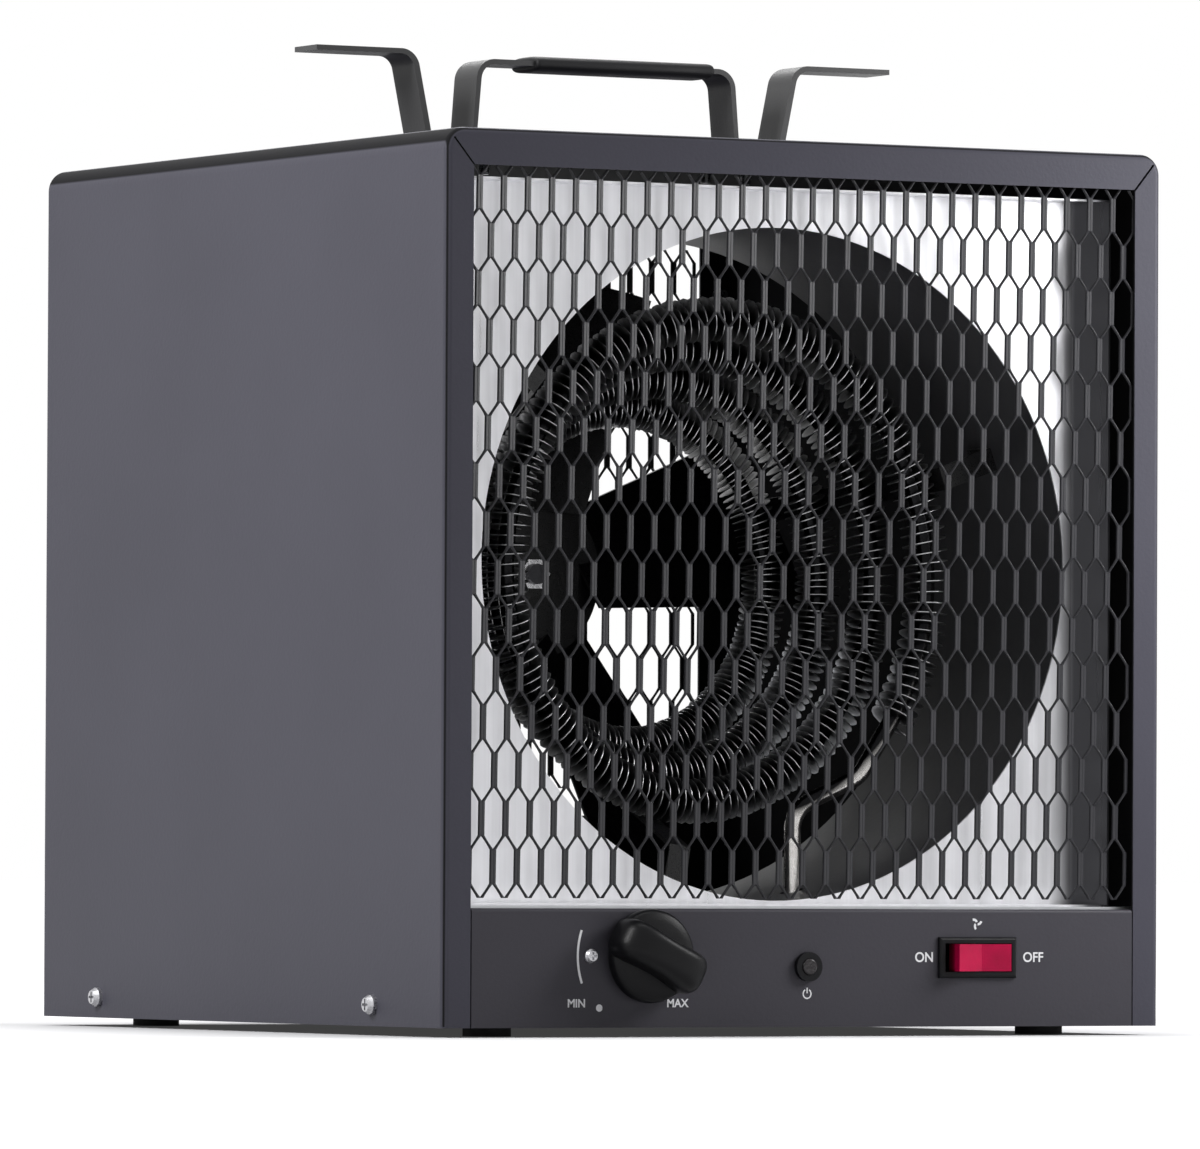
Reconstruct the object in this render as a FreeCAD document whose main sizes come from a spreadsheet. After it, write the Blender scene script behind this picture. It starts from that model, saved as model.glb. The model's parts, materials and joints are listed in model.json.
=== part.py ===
import FreeCAD
import Part
import Sketcher
import math
import os
import re

# Portable garage heater: a folded sheet-steel cabinet with a fan behind a spiral of finned heating tube.
# Frame: +X right and -Y front as seen by the user, +Z up, origin under the middle of the part on its feet.
# All lengths are millimetres and all angles degrees.

SIZES = {
    # Cabinet
    "cabinet_width": 310.0,
    "cabinet_depth": 328.0,
    "cabinet_height": 331.5,
    "skin": 1.2,
    "corner_radius": 8.0,
    "edge_radius": 2.5,
    "side_flange": 11.5,
    "top_flange": 13.7,
    "rear_flange": 14.0,
    "mitre_slit": 0.8,
    "mitre_share": 0.72,
    "fit_gap": 0.2,
    "overrun": 5.0,
    # Base pan and feet
    "pan_sheet": 1.2,
    "pan_lip": 18.0,
    "foot_height": 3.5,
    "foot_radius": 9.0,
    "foot_well_radius": 5.0,
    "foot_web": 1.1,
    "foot_side_inset": 35.0,
    "foot_end_inset": 30.0,
    # Control panel and the floor of the hot chamber above it
    "panel_height": 44.1,
    "panel_sheet": 1.5,
    "panel_lip": 22.0,
    "panel_gap": 0.5,
    "panel_edge_radius": 1.4,
    "floor_sheet": 1.0,
    "floor_setback": 7.0,
    "floor_lip": 10.0,
    # Rear panel
    "rear_sheet": 1.0,
    "rear_window_half": 140.5,
    "rear_window_low": 80.0,
    "rear_window_high": 312.5,
    # Expanded metal grilles
    "mesh_depth": 2.0,
    "mesh_pitch": 10.0,
    "mesh_row": 17.76,
    "mesh_bond": 12.4,
    "mesh_strand": 1.7,
    "mesh_border": 2.0,
    "grille_lift": 0.6,
    "grille_drop": 10.8,
    "rear_grille_lap": 2.0,
    # Reflector and duct
    "reflector_depth": 24.0,
    "reflector_sheet": 0.8,
    "reflector_half": 131.0,
    "reflector_high": 314.3,
    "flare_depth": 12.0,
    "flare_width": 9.0,
    "fan_axis_height": 173.5,
    "duct_radius": 126.5,
    "duct_wall": 0.8,
    "duct_length": 100.0,
    # Heating element: a conical spiral of finned tube
    "tube_radius": 3.25,
    "fin_radius": 9.0,
    "fin_seat_gap": 0.15,
    "spiral_radius": 91.0,
    "spiral_shrink": 9.5,
    "spiral_tall": 1.06,
    "spiral_depth": 66.0,
    "spiral_pitch": 25.0,
    "spiral_start": -37.0,
    "spiral_end": 1260.0,
    "fin_curls": 96.0,
    "leg_run": 25.0,
    "leg_bend": 12.0,
    "front_leg_offset": 30.0,
    "front_leg_knee": 92.0,
    "rear_leg_depth": 168.0,
    "rear_leg_knee": 55.0,
    "leg_foot_height": 20.0,
    # Element fittings
    "bushing_radius": 6.0,
    "bushing_flange_radius": 8.5,
    "bushing_flange": 1.6,
    "bushing_length": 11.0,
    "leg_gap": 0.1,
    "pin_radius": 2.0,
    "pin_length": 9.0,
    "support_sheet": 1.5,
    "support_width": 9.0,
    "support_gap": 0.3,
    "support_angle": 20.0,
    "support_count": 3.0,
    "support_foot": 14.0,
    "support_first_turn": -0.25,
    "support_last_turn": 3.3,
    "duct_hole_gap": 1.5,
    # Over-temperature cut-out under the chamber floor
    "cutout_radius": 9.5,
    "cutout_height": 7.0,
    "cutout_offset": 70.0,
    "cutout_depth": 120.0,
    # Shared spade terminal
    "spade_width": 6.3,
    "spade_sheet": 0.8,
    "spade_length": 9.0,
    # Thermostat and its knob
    "dial_offset": 68.8,
    "dial_height": 26.5,
    "thermostat_width": 36.0,
    "thermostat_tall": 28.0,
    "thermostat_depth": 22.0,
    "thermostat_bush_radius": 5.0,
    "thermostat_bush_gap": 0.15,
    "thermostat_screw_reach": 24.2,
    "thermostat_ear": 1.5,
    "thermostat_ear_tall": 9.0,
    "stem_radius": 3.0,
    "stem_gap": 0.05,
    "stem_end_gap": 0.5,
    "stem_flat": 1.2,
    "stem_inside": 12.0,
    "stem_reach": 15.0,
    "knob_reach": 20.0,
    "knob_lift": 1.3,
    "knob_skirt_radius": 17.5,
    "knob_skirt": 5.5,
    "knob_taper": 1.5,
    "knob_bar_width": 16.0,
    "knob_bar_overhang": 2.0,
    "knob_bar_radius": 7.0,
    "knob_edge_radius": 2.4,
    "knob_pointer": 27.0,
    # Rocker switch
    "switch_offset": 74.0,
    "switch_height": 25.9,
    "bezel_width": 34.0,
    "bezel_tall": 15.4,
    "bezel_proud": 1.8,
    "bezel_edge": 1.2,
    "switch_body_width": 31.0,
    "switch_body_tall": 13.2,
    "switch_body_depth": 21.0,
    "switch_window_width": 29.4,
    "switch_window_tall": 10.8,
    "switch_cavity": 13.0,
    "switch_poles": 3.0,
    "rocker_half": 13.0,
    "rocker_tall": 10.2,
    "rocker_rise": 4.6,
    "rocker_dish": 2.2,
    "rocker_heel": 3.0,
    "rocker_heel_half": 9.0,
    "rocker_tilt": 10.0,
    "rocker_pivot_depth": 3.0,
    "rocker_pin_radius": 1.2,
    "rocker_pin_length": 12.2,
    "rocker_pin_gap": 0.05,
    # Power indicator
    "lamp_height": 22.5,
    "lamp_bezel_radius": 5.5,
    "lamp_bezel_proud": 2.0,
    "lamp_barrel_radius": 4.2,
    "lamp_barrel_length": 16.0,
    "lamp_bore_radius": 3.2,
    "lamp_lens_proud": 2.8,
    "lamp_lens_length": 8.0,
    "lamp_nut_radius": 6.5,
    "lamp_nut_thickness": 3.0,
    "lamp_gap": 0.1,
    # Carrying handle and cord hooks
    "strap_sheet": 2.0,
    "strap_width": 18.0,
    "strap_bend": 6.0,
    "strap_foot_bend": 1.5,
    "strap_tab": 16.0,
    "tab_hole_share": 0.6,
    "handle_base": 58.8,
    "handle_lean": 3.0,
    "handle_rise": 38.0,
    "grip_length": 90.0,
    "grip_offset": 2.2,
    "grip_width": 22.0,
    "grip_thickness": 6.0,
    "grip_radius": 2.0,
    "grip_gap": 0.1,
    "hook_base": 76.7,
    "hook_lean": 8.0,
    "hook_rise": 40.6,
    "hook_reach": 127.0,
    # Screws
    "screw_radius": 2.0,
    "screw_gap": 0.15,
    "thread_gap": 0.05,
    "screw_length": 8.0,
    "head_radius": 3.7,
    "foot_head_share": 0.65,
    "dial_head_share": 0.72,
    "head_height": 3.2,
    "head_rim_share": 0.45,
    "head_crown_share": 0.7,
    "recess_width": 0.9,
    "recess_length": 4.2,
    "recess_depth": 1.6,
    "side_screw_height": 8.0,
    "side_screw_front": 54.5,
    "side_screw_rear": 279.0,
    "rear_screw_low": 41.5,
    "rear_screw_high": 291.5,
    # Fan
    "fan_depth": 223.0,
    "fan_blades": 5.0,
    "fan_tip_radius": 117.0,
    "fan_hub_radius": 35.0,
    "fan_root": 26.0,
    "fan_sheet": 1.5,
    "fan_sector": 20.0,
    "fan_sector_offset": 78.5,
    "fan_pitch": 34.0,
    "fan_phase": 11.4,
    "fan_swept_depth": 44.0,
    "fan_boss_radius": 9.0,
    "fan_boss_length": 16.0,
    "fan_nut_radius": 6.5,
    "fan_nut_height": 5.0,
    "fan_bore_gap": 0.02,
    # Motor
    "motor_radius": 40.0,
    "motor_front_depth": 258.0,
    "motor_shell_length": 30.0,
    "motor_shell_wall": 1.5,
    "motor_shell_radius": 5.0,
    "shaft_radius": 4.0,
    "shaft_nose": 7.0,
    "shaft_end_gap": 0.5,
    "shaft_hole_gap": 1.0,
    "bearing_radius": 9.0,
    "bearing_length": 8.0,
    "bearing_gap": 0.05,
    "rotor_radius": 21.5,
    "rotor_length": 28.0,
    "stator_bore": 22.0,
    "stator_length": 30.0,
    "stator_gap": 0.2,
    "bearing_housing": 3.0,
    "motor_screw_reach": 25.0,
    "bracket_height": 16.0,
    "bracket_sheet": 2.0,
    "bracket_end": 8.0,
    "bracket_gap": 0.3,
    # Supply connections
    "gland_offset": 100.0,
    "gland_height": 28.5,
    "gland_reach": 20.0,
    "gland_bore": 6.0,
    "gland_thread_radius": 10.0,
    "gland_hex_radius": 14.0,
    "gland_hex_length": 7.0,
    "gland_dome_radius": 12.0,
    "gland_mouth_radius": 8.5,
    "gland_inside": 9.0,
    "locknut_radius": 13.5,
    "locknut_thickness": 4.0,
    "gland_gap": 0.1,
    "block_length": 56.0,
    "block_width": 22.0,
    "block_height": 16.0,
    "block_step": 6.0,
    "block_offset": 60.0,
    "block_depth": 245.0,
    "block_poles": 3.0,
    "block_post": 6.0,
    "block_hole_spare": 0.5,
}

FRONT = "(-cabinet_depth / 2)"
REAR = "(cabinet_depth / 2)"
HALF = "(cabinet_width / 2)"
FLOOR = "foot_height"
TOP = "(foot_height + cabinet_height)"
AXIS = "(foot_height + fan_axis_height)"
FLOOR_TOP = "(foot_height + panel_height + floor_sheet)"
REAR_PLANE = "(cabinet_depth / 2 - skin - rear_sheet)"
SIDES = (-1, 1)
TURN = 360
QUARTER = 90
TOLERANCE = 1e-4

doc = FreeCAD.newDocument("garage_heater")
sheet = doc.addObject("Spreadsheet::Sheet", "dims")
for row, (size_name, size_value) in enumerate(SIZES.items(), start=1):
    sheet.set(f"A{row}", size_name)
    sheet.set(f"B{row}", str(size_value))
    sheet.setAlias(f"B{row}", size_name)
doc.recompute()

parts = []


def size(name):
    """The value that the spreadsheet holds for a named size."""
    return float(getattr(sheet, name))


def formula(text):
    """An expression in which each named size is a cell of the spreadsheet."""
    return re.sub(r"[a-z_]\w*", lambda m: "dims." + m.group() if m.group() in SIZES else m.group(), text)


def worked(text):
    """The value of an expression of named sizes."""
    return float(sheet.evalExpression(formula(text)))


def bind(obj, **expressions):
    """Ties properties of an object to expressions of the named sizes."""
    for name, text in expressions.items():
        obj.setExpression(name.replace("__", "."), formula(text))
    return obj


def place(obj, x="0", y="0", z="0"):
    """Ties an object's position to expressions."""
    obj.setExpression("Placement.Base.x", formula(x))
    obj.setExpression("Placement.Base.y", formula(y))
    obj.setExpression("Placement.Base.z", formula(z))
    return obj


def box(name, x, y, z):
    """A block between low and high expressions along each axis."""
    obj = doc.addObject("Part::Box", name)
    bind(obj, Length=f"({x[1]}) - ({x[0]})", Width=f"({y[1]}) - ({y[0]})", Height=f"({z[1]}) - ({z[0]})")
    return place(obj, x[0], y[0], z[0])


AXIS_TURNS = {
    "x": FreeCAD.Rotation(FreeCAD.Vector(0, 1, 0), 90),
    "y": FreeCAD.Rotation(FreeCAD.Vector(1, 0, 0), -90),
    "z": FreeCAD.Rotation(),
}


def along(obj, axis, centre, low):
    """Lays an object whose own axis is Z along X, Y or Z, from the expression low."""
    obj.Placement = FreeCAD.Placement(FreeCAD.Vector(), AXIS_TURNS[axis])
    spots = {"x": (low, *centre), "y": (centre[0], low, centre[1]), "z": (*centre, low)}
    return place(obj, *spots[axis])


def cylinder(name, axis, centre, span, radius):
    """A round bar along X, Y or Z between two expressions; centre gives the two other coordinates."""
    obj = doc.addObject("Part::Cylinder", name)
    bind(obj, Radius=radius, Height=f"({span[1]}) - ({span[0]})")
    return along(obj, axis, centre, span[0])


def cone(name, axis, centre, span, radii):
    """A tapered bar along X, Y or Z, with its radius at the low and high end."""
    obj = doc.addObject("Part::Cone", name)
    bind(obj, Radius1=radii[0], Radius2=radii[1], Height=f"({span[1]}) - ({span[0]})")
    return along(obj, axis, centre, span[0])


def hexagon(name, axis, centre, span, radius):
    """A six-sided bar along X, Y or Z."""
    obj = doc.addObject("Part::Prism", name)
    obj.Polygon = 6
    bind(obj, Circumradius=radius, Height=f"({span[1]}) - ({span[0]})")
    return along(obj, axis, centre, span[0])


def fuse(name, *shapes):
    """One solid joined from several."""
    obj = doc.addObject("Part::MultiFuse", name)
    obj.Shapes = list(shapes)
    obj.Refine = True
    return obj


def cut(name, base, *tools):
    """A solid with one or more tools taken out of it."""
    obj = doc.addObject("Part::Cut", name)
    obj.Base = base
    obj.Tool = tools[0] if len(tools) == 1 else group(name + "_tools", *tools)
    return obj


def common(name, base, tool):
    """What two solids share."""
    obj = doc.addObject("Part::Common", name)
    obj.Base = base
    obj.Tool = tool
    return obj


def group(name, *shapes):
    """Separate solids kept together."""
    obj = doc.addObject("Part::Compound", name)
    obj.Links = list(shapes)
    return obj


def rounded(name, base, radius, wanted):
    """Rounds the edges of a solid that the test wanted(middle, direction) picks."""
    doc.recompute()
    picked = []
    for number, edge in enumerate(base.Shape.Edges, start=1):
        middle = edge.BoundBox.Center
        direction = edge.Vertexes[-1].Point - edge.Vertexes[0].Point
        if direction.Length > TOLERANCE:
            direction.normalize()
        if wanted(middle, direction):
            picked.append((number, radius, radius))
    assert picked, name
    obj = doc.addObject("Part::Fillet", name)
    obj.Base = base
    obj.Edges = picked
    return obj


def near(first, second):
    """Whether two lengths agree."""
    return abs(first - second) < TOLERANCE


def keep(name, obj):
    """Marks an object as one of the heater's sub-parts."""
    obj.Label = name
    parts.append((name, obj))
    return obj


def origin_plane(body, role):
    """One of a body's own origin planes."""
    return next(item for item in body.Origin.OriginFeatures if item.Role == role)


def padded(name, role, points, length):
    """A body padded evenly to both sides of an outline whose corners are tied to expressions."""
    body = doc.addObject("PartDesign::Body", name)
    sketch = body.newObject("Sketcher::SketchObject", name + "_outline")
    sketch.AttachmentSupport = [(origin_plane(body, role), "")]
    sketch.MapMode = "FlatFace"
    spots = [FreeCAD.Vector(worked(across), worked(up), 0) for across, up in points]
    following = spots[1:] + spots[:1]
    for first, second in zip(spots, following):
        sketch.addGeometry(Part.LineSegment(first, second), False)
    for number in range(len(spots)):
        sketch.addConstraint(Sketcher.Constraint("Coincident", number, 2, (number + 1) % len(spots), 1))
    for number, (spot, (across, up)) in enumerate(zip(spots, points)):
        for kind, value, text in (("DistanceX", spot.x, across), ("DistanceY", spot.y, up)):
            tie = sketch.addConstraint(Sketcher.Constraint(kind, -1, 1, number, 1, value))
            sketch.setExpression(f"Constraints[{tie}]", formula(text))
    pad = body.newObject("PartDesign::Pad", name + "_pad")
    pad.Profile = sketch
    pad.Midplane = True
    bind(pad, Length=length)
    return body


def turned(name, obj, axis, angle):
    """An object turned about an axis through the origin by an angle expression."""
    holder = group(name, obj)
    holder.Placement = FreeCAD.Placement(FreeCAD.Vector(), FreeCAD.Rotation(FreeCAD.Vector(*axis), 1))
    holder.setExpression("Placement.Rotation.Angle", formula(angle))
    return holder


def screw(name, axis, sign, centre, seat, wide="1", tall="1"):
    """A cross-recess pan-head screw: its head stands on seat and faces along sign times the axis.

    The shares wide and tall make the head smaller across and lower.
    """
    radius = f"(head_radius * {wide})"
    height = f"(head_height * {tall})"

    def span(low, high):
        ends = [f"{seat} + ({sign}) * ({low})", f"{seat} + ({sign}) * ({high})"]
        return ends if sign > 0 else ends[::-1]

    crown_radii = [radius, f"{radius} * head_crown_share"]
    rim = cylinder(name + "_rim", axis, centre, span("0", f"{height} * head_rim_share"), radius)
    crown = cone(name + "_crown", axis, centre, span(f"{height} * head_rim_share", height),
                 crown_radii if sign > 0 else crown_radii[::-1])
    shank = cylinder(name + "_shank", axis, centre, span("-screw_length", "0"), "screw_radius")
    slots = []
    deep = span(f"{height} - recess_depth * {tall}", f"{height} + overrun")
    length = f"recess_length * {wide}"
    arms = ((length, "recess_width"), ("recess_width", length))
    for turn, (along, over) in enumerate(arms):
        first = (f"{centre[0]} - {along} / 2", f"{centre[0]} + {along} / 2")
        second = (f"{centre[1]} - {over} / 2", f"{centre[1]} + {over} / 2")
        spans = {"x": (deep, first, second), "y": (first, deep, second), "z": (first, second, deep)}
        slots.append(box(f"{name}_slot{turn}", *spans[axis]))
    return cut(name, fuse(name + "_blank", rim, crown, shank), *slots)


def screws(name, axis, sign, centres, seat, wide="1", tall="1"):
    """A set of like screws, each a solid of its own."""
    made = [screw(f"{name}_{number}", axis, sign, centre, seat, wide, tall)
            for number, centre in enumerate(centres)]
    return keep(name, group(name + "_set", *made))


def holes(name, axis, centres, span, radius):
    """Round cutters at a list of places."""
    return [cylinder(f"{name}_{number}", axis, centre, span, radius)
            for number, centre in enumerate(centres)]


SIDE_SCREW_ROWS = [(f"{FRONT} + {row}", f"{FLOOR} + side_screw_height")
                   for row in ("side_screw_front", "side_screw_rear")]
HANDLE_SCREWS = [(f"({side}) * (handle_base - strap_tab * tab_hole_share)", "0") for side in SIDES]
HOOK_SCREWS = [(f"({side}) * (hook_base - strap_tab * tab_hole_share)", "0") for side in SIDES]
REAR_SCREWS = [(f"({side}) * ({HALF} - rear_flange / 2)", f"{FLOOR} + {row}")
               for side in SIDES for row in ("rear_screw_low", "fan_axis_height", "rear_screw_high")]
FOOT_PLACES = [(f"({side}) * ({HALF} - foot_side_inset)", f"({end}) * ({REAR} - foot_end_inset)")
               for side in SIDES for end in SIDES]
MOTOR_SCREWS = [(f"({side}) * motor_screw_reach", AXIS) for side in SIDES]
DIAL = ("-dial_offset", f"{FLOOR} + dial_height")
DIAL_SCREW = ("-dial_offset - thermostat_screw_reach", DIAL[1])
SWITCH = ("switch_offset", f"{FLOOR} + switch_height")
LAMP = ("0", f"{FLOOR} + lamp_height")
GLAND = ("-gland_offset", f"{FLOOR} + gland_height")
BLOCK = ("-block_offset", f"{FRONT} + block_depth")
THROUGH_TOP = (f"{TOP} - overrun", f"{TOP} + overrun")
THROUGH_REAR = (f"{REAR_PLANE} - overrun", f"{REAR} + overrun")
THROUGH_PANEL = (f"{FRONT} - overrun", f"{FRONT} + overrun")
LOOSE = "screw_radius + screw_gap"
THREAD = "screw_radius + thread_gap"


def both(half):
    """The low and high expressions of something centred on zero."""
    return (f"-({half})", half)


def about(centre, half):
    """The low and high expressions of something centred on an expression."""
    return (f"{centre} - ({half})", f"{centre} + ({half})")


def make_wrapper():
    """Top and sides folded from one sheet, with mitred flanges at the front and plain ones at the rear."""
    top = worked(TOP)
    floor = worked(FLOOR)
    face = worked(REAR)
    block = box("wrapper_block", both(HALF), (FRONT, REAR), (FLOOR, TOP))
    bends = rounded("wrapper_bends", block, size("corner_radius"),
                    lambda middle, way: near(abs(way.y), 1) and near(middle.z, top))
    skin = rounded("wrapper_edges", bends, size("edge_radius"),
                   lambda middle, way: near(abs(middle.y), face) and not near(middle.z, floor))
    room = box("wrapper_room", both(f"{HALF} - skin"), (f"{FRONT} + skin", f"{REAR} - skin"),
               (f"{FLOOR} - overrun", f"{TOP} - skin"))
    inside = rounded("wrapper_room_bends", room, worked("corner_radius - skin"),
                     lambda middle, way: near(abs(way.y), 1) and near(middle.z, top - size("skin")))
    front = box("wrapper_front_window", both(f"{HALF} - side_flange"), THROUGH_PANEL,
                (f"{FLOOR} - overrun", f"{TOP} - top_flange"))
    rear = box("wrapper_rear_window", both(f"{HALF} - rear_flange"),
               (f"{REAR} - overrun", f"{REAR} + overrun"), (f"{FLOOR} - overrun", f"{TOP} - rear_flange"))
    slits = []
    slope = "atan2(top_flange; side_flange)"
    for side, angle in ((1, slope), (-1, f"180 deg - {slope}")):
        slit = box(f"wrapper_slit_{side + 1}",
                   ("-overrun", "mitre_share * sqrt(side_flange ^ 2 + top_flange ^ 2)"),
                   ("0", "overrun + skin"), both("mitre_slit / 2"))
        leaning = turned(f"wrapper_mitre_{side + 1}", slit, (0, -1, 0), angle)
        corner = f"({side}) * ({HALF} - side_flange)"
        slits.append(place(leaning, corner, f"{FRONT} - overrun", f"{TOP} - top_flange"))
    drilled = holes("wrapper_side_hole", "x", SIDE_SCREW_ROWS, both(f"{HALF} + overrun"), LOOSE)
    drilled += holes("wrapper_top_hole", "z", HANDLE_SCREWS + HOOK_SCREWS, THROUGH_TOP, THREAD)
    drilled += holes("wrapper_rear_hole", "y", REAR_SCREWS, THROUGH_REAR, LOOSE)
    shell = cut("wrapper_shell", skin, inside)
    keep("cabinet_wrapper", cut("wrapper", shell, front, rear, *slits, *drilled))


def make_base_pan():
    """Bottom sheet turned up along both sides, where the cabinet's side screws hold it."""
    deep = (f"{FRONT} + panel_sheet", REAR_PLANE)
    block = box("pan_block", both(f"{HALF} - skin - fit_gap"), deep, (FLOOR, f"{FLOOR} + pan_lip"))
    room = box("pan_room", both(f"{HALF} - skin - fit_gap - pan_sheet"),
               (f"{FRONT} - overrun", f"{REAR} + overrun"),
               (f"{FLOOR} + pan_sheet", f"{FLOOR} + pan_lip + overrun"))
    drilled = holes("pan_side_hole", "x", SIDE_SCREW_ROWS, both(HALF), THREAD)
    drilled += holes("pan_foot_hole", "z", FOOT_PLACES, (f"{FLOOR} - overrun", f"{FLOOR} + overrun"), THREAD)
    keep("base_pan", cut("pan", block, room, *drilled))


def make_feet():
    """Rubber feet with a well for the screw that holds each one."""
    for number, centre in enumerate(FOOT_PLACES, start=1):
        pad = cylinder(f"foot_pad_{number}", "z", centre, ("0", FLOOR), "foot_radius")
        well = cylinder(f"foot_well_{number}", "z", centre, ("-overrun", f"{FLOOR} - foot_web"),
                        "foot_well_radius")
        bore = cylinder(f"foot_bore_{number}", "z", centre, ("0", f"{FLOOR} + overrun"), LOOSE)
        keep(f"rubber_foot_{number}", cut(f"foot_{number}", pad, well, bore))
    screws("foot_screws", "z", -1, FOOT_PLACES, f"({FLOOR} - foot_web)", tall="foot_head_share")


def make_control_panel():
    """Front control panel with a lip along its top that carries the chamber floor."""
    wide = both(f"{HALF} - side_flange - panel_gap")
    top = f"{FLOOR} + panel_height"
    face = box("panel_face", wide, (FRONT, f"{FRONT} + panel_sheet"), (FLOOR, top))
    lip = box("panel_top_lip", wide, (FRONT, f"{FRONT} + panel_lip"), (f"{top} - panel_sheet", top))
    blank = fuse("panel_blank", face, lip)
    high = worked(top)
    front = worked(FRONT)

    def fold_line(middle, way):
        """Whether an edge runs across the panel at its top front corner."""
        return near(abs(way.x), 1) and near(middle.z, high) and near(middle.y, front)

    folded = rounded("panel_fold", blank, size("panel_edge_radius"), fold_line)
    dial = cylinder("panel_dial_hole", "y", DIAL, THROUGH_PANEL,
                    "thermostat_bush_radius + thermostat_bush_gap")
    lamp = cylinder("panel_lamp_hole", "y", LAMP, THROUGH_PANEL, "lamp_barrel_radius + lamp_gap")
    switch = box("panel_switch_hole", about(SWITCH[0], "switch_body_width / 2 + fit_gap"), THROUGH_PANEL,
                 about(SWITCH[1], "switch_body_tall / 2 + fit_gap"))
    ear = cylinder("panel_ear_hole", "y", DIAL_SCREW, THROUGH_PANEL, LOOSE)
    keep("control_panel", cut("panel", folded, dial, lamp, switch, ear))


LEG_HOLE = "tube_radius + duct_hole_gap"


def make_chamber_floor(leg_places):
    """Sheet between the hot chamber and the wiring, with side lips and a hole for each element bushing."""
    deep = (f"{FRONT} + floor_setback", REAR_PLANE)
    wide = f"{HALF} - skin - fit_gap"
    low = f"{FLOOR} + panel_height"
    deck = box("floor_deck", both(wide), deep, (low, FLOOR_TOP))
    lips = []
    for side in SIDES:
        edges = sorted((f"({side}) * ({wide})", f"({side}) * ({wide} - floor_sheet)"), key=worked)
        lips.append(box(f"floor_lip_{side + 1}", edges, deep, (f"{low} - floor_lip", low)))
    cutters = holes("floor_leg_hole", "z", leg_places, (f"{low} - overrun", f"{low} + overrun"),
                    "bushing_radius + leg_gap")
    keep("chamber_floor", cut("floor", fuse("floor_blank", deck, *lips), *cutters))


def mesh_sheet(name, x, y, z):
    """Expanded metal: one flat sheet with rows of tall six-sided gaps, each row shifted half a gap."""
    x_low, x_high, y_low, y_high, z_low, z_high = [worked(text) for text in (*x, *y, *z)]
    pitch = size("mesh_pitch")
    row = size("mesh_row")
    strand = size("mesh_strand")
    border = size("mesh_border")
    rise = row - size("mesh_bond")
    slope = rise / (pitch / 2)
    wide = (pitch - strand) / 2
    tip = size("mesh_bond") / 2 + rise - strand / 2 * math.hypot(1, slope)
    shoulder = tip - slope * wide

    def loop(corners):
        points = [FreeCAD.Vector(across, y_low, up) for across, up in corners]
        return Part.makePolygon(points + points[:1])

    wires = [loop([(x_low, z_low), (x_high, z_low), (x_high, z_high), (x_low, z_high)])]
    x_middle = (x_low + x_high) / 2
    z_middle = (z_low + z_high) / 2
    rows = int((z_high - z_low) / row) + 1
    columns = int((x_high - x_low) / pitch) + 1
    for line in range(-rows, rows + 1):
        for column in range(-columns, columns + 1):
            across = x_middle + (column + (line % 2) / 2) * pitch
            up = z_middle + line * row
            left = across - wide
            right = across + wide
            fits_across = x_low + border <= left and right <= x_high - border
            fits_up = z_low + border <= up - tip and up + tip <= z_high - border
            if fits_across and fits_up:
                wires.append(loop([(across, up + tip), (right, up + shoulder), (right, up - shoulder),
                                   (across, up - tip), (left, up - shoulder), (left, up + shoulder)]))
    obj = doc.addObject("Part::Feature", name + "_sheet")
    face = Part.Face(wires[0])
    face.cutHoles(wires[1:])
    obj.Shape = face.extrude(FreeCAD.Vector(0, y_high - y_low, 0))
    return keep(name, obj)


def make_grilles():
    """Front and rear grilles, each lying against the inside of the sheet that frames it."""
    face = f"{FRONT} + skin"
    mesh_sheet("front_grille", both(f"{HALF} - skin - fit_gap"), (face, f"{face} + mesh_depth"),
               (f"{FLOOR} + panel_height + grille_lift", f"{TOP} - grille_drop"))
    low = f"{FLOOR} + rear_window_low - rear_grille_lap"
    high = f"{FLOOR} + rear_window_high + rear_grille_lap"
    mesh_sheet("rear_grille", both("rear_window_half + rear_grille_lap"),
               (f"{REAR_PLANE} - mesh_depth", REAR_PLANE), (low, high))


def make_rear_panel():
    """Rear sheet with the air window and the cord entry."""
    plate = box("rear_plate", both(f"{HALF} - skin - fit_gap"), (REAR_PLANE, f"{REAR} - skin"),
                (FLOOR, f"{TOP} - corner_radius"))
    window = box("rear_window", both("rear_window_half"), THROUGH_REAR,
                 (f"{FLOOR} + rear_window_low", f"{FLOOR} + rear_window_high"))
    entry = cylinder("rear_entry", "y", GLAND, THROUGH_REAR, "gland_thread_radius + gland_gap")
    drilled = holes("rear_hole", "y", REAR_SCREWS, THROUGH_REAR, LOOSE)
    keep("rear_panel", cut("rear", plate, window, entry, *drilled))
    screws("rear_panel_screws", "y", 1, REAR_SCREWS, REAR)


def frustum(name, y, near_half, near_z, far_half, far_z):
    """A block along Y whose rectangular ends differ."""
    obj = doc.addObject("Part::Wedge", name)
    return bind(obj, Xmin=f"-({near_half})", Xmax=near_half, X2min=f"-({far_half})", X2max=far_half,
                Ymin=y[0], Ymax=y[1], Zmin=near_z[0], Zmax=near_z[1], Z2min=far_z[0], Z2max=far_z[1])


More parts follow.
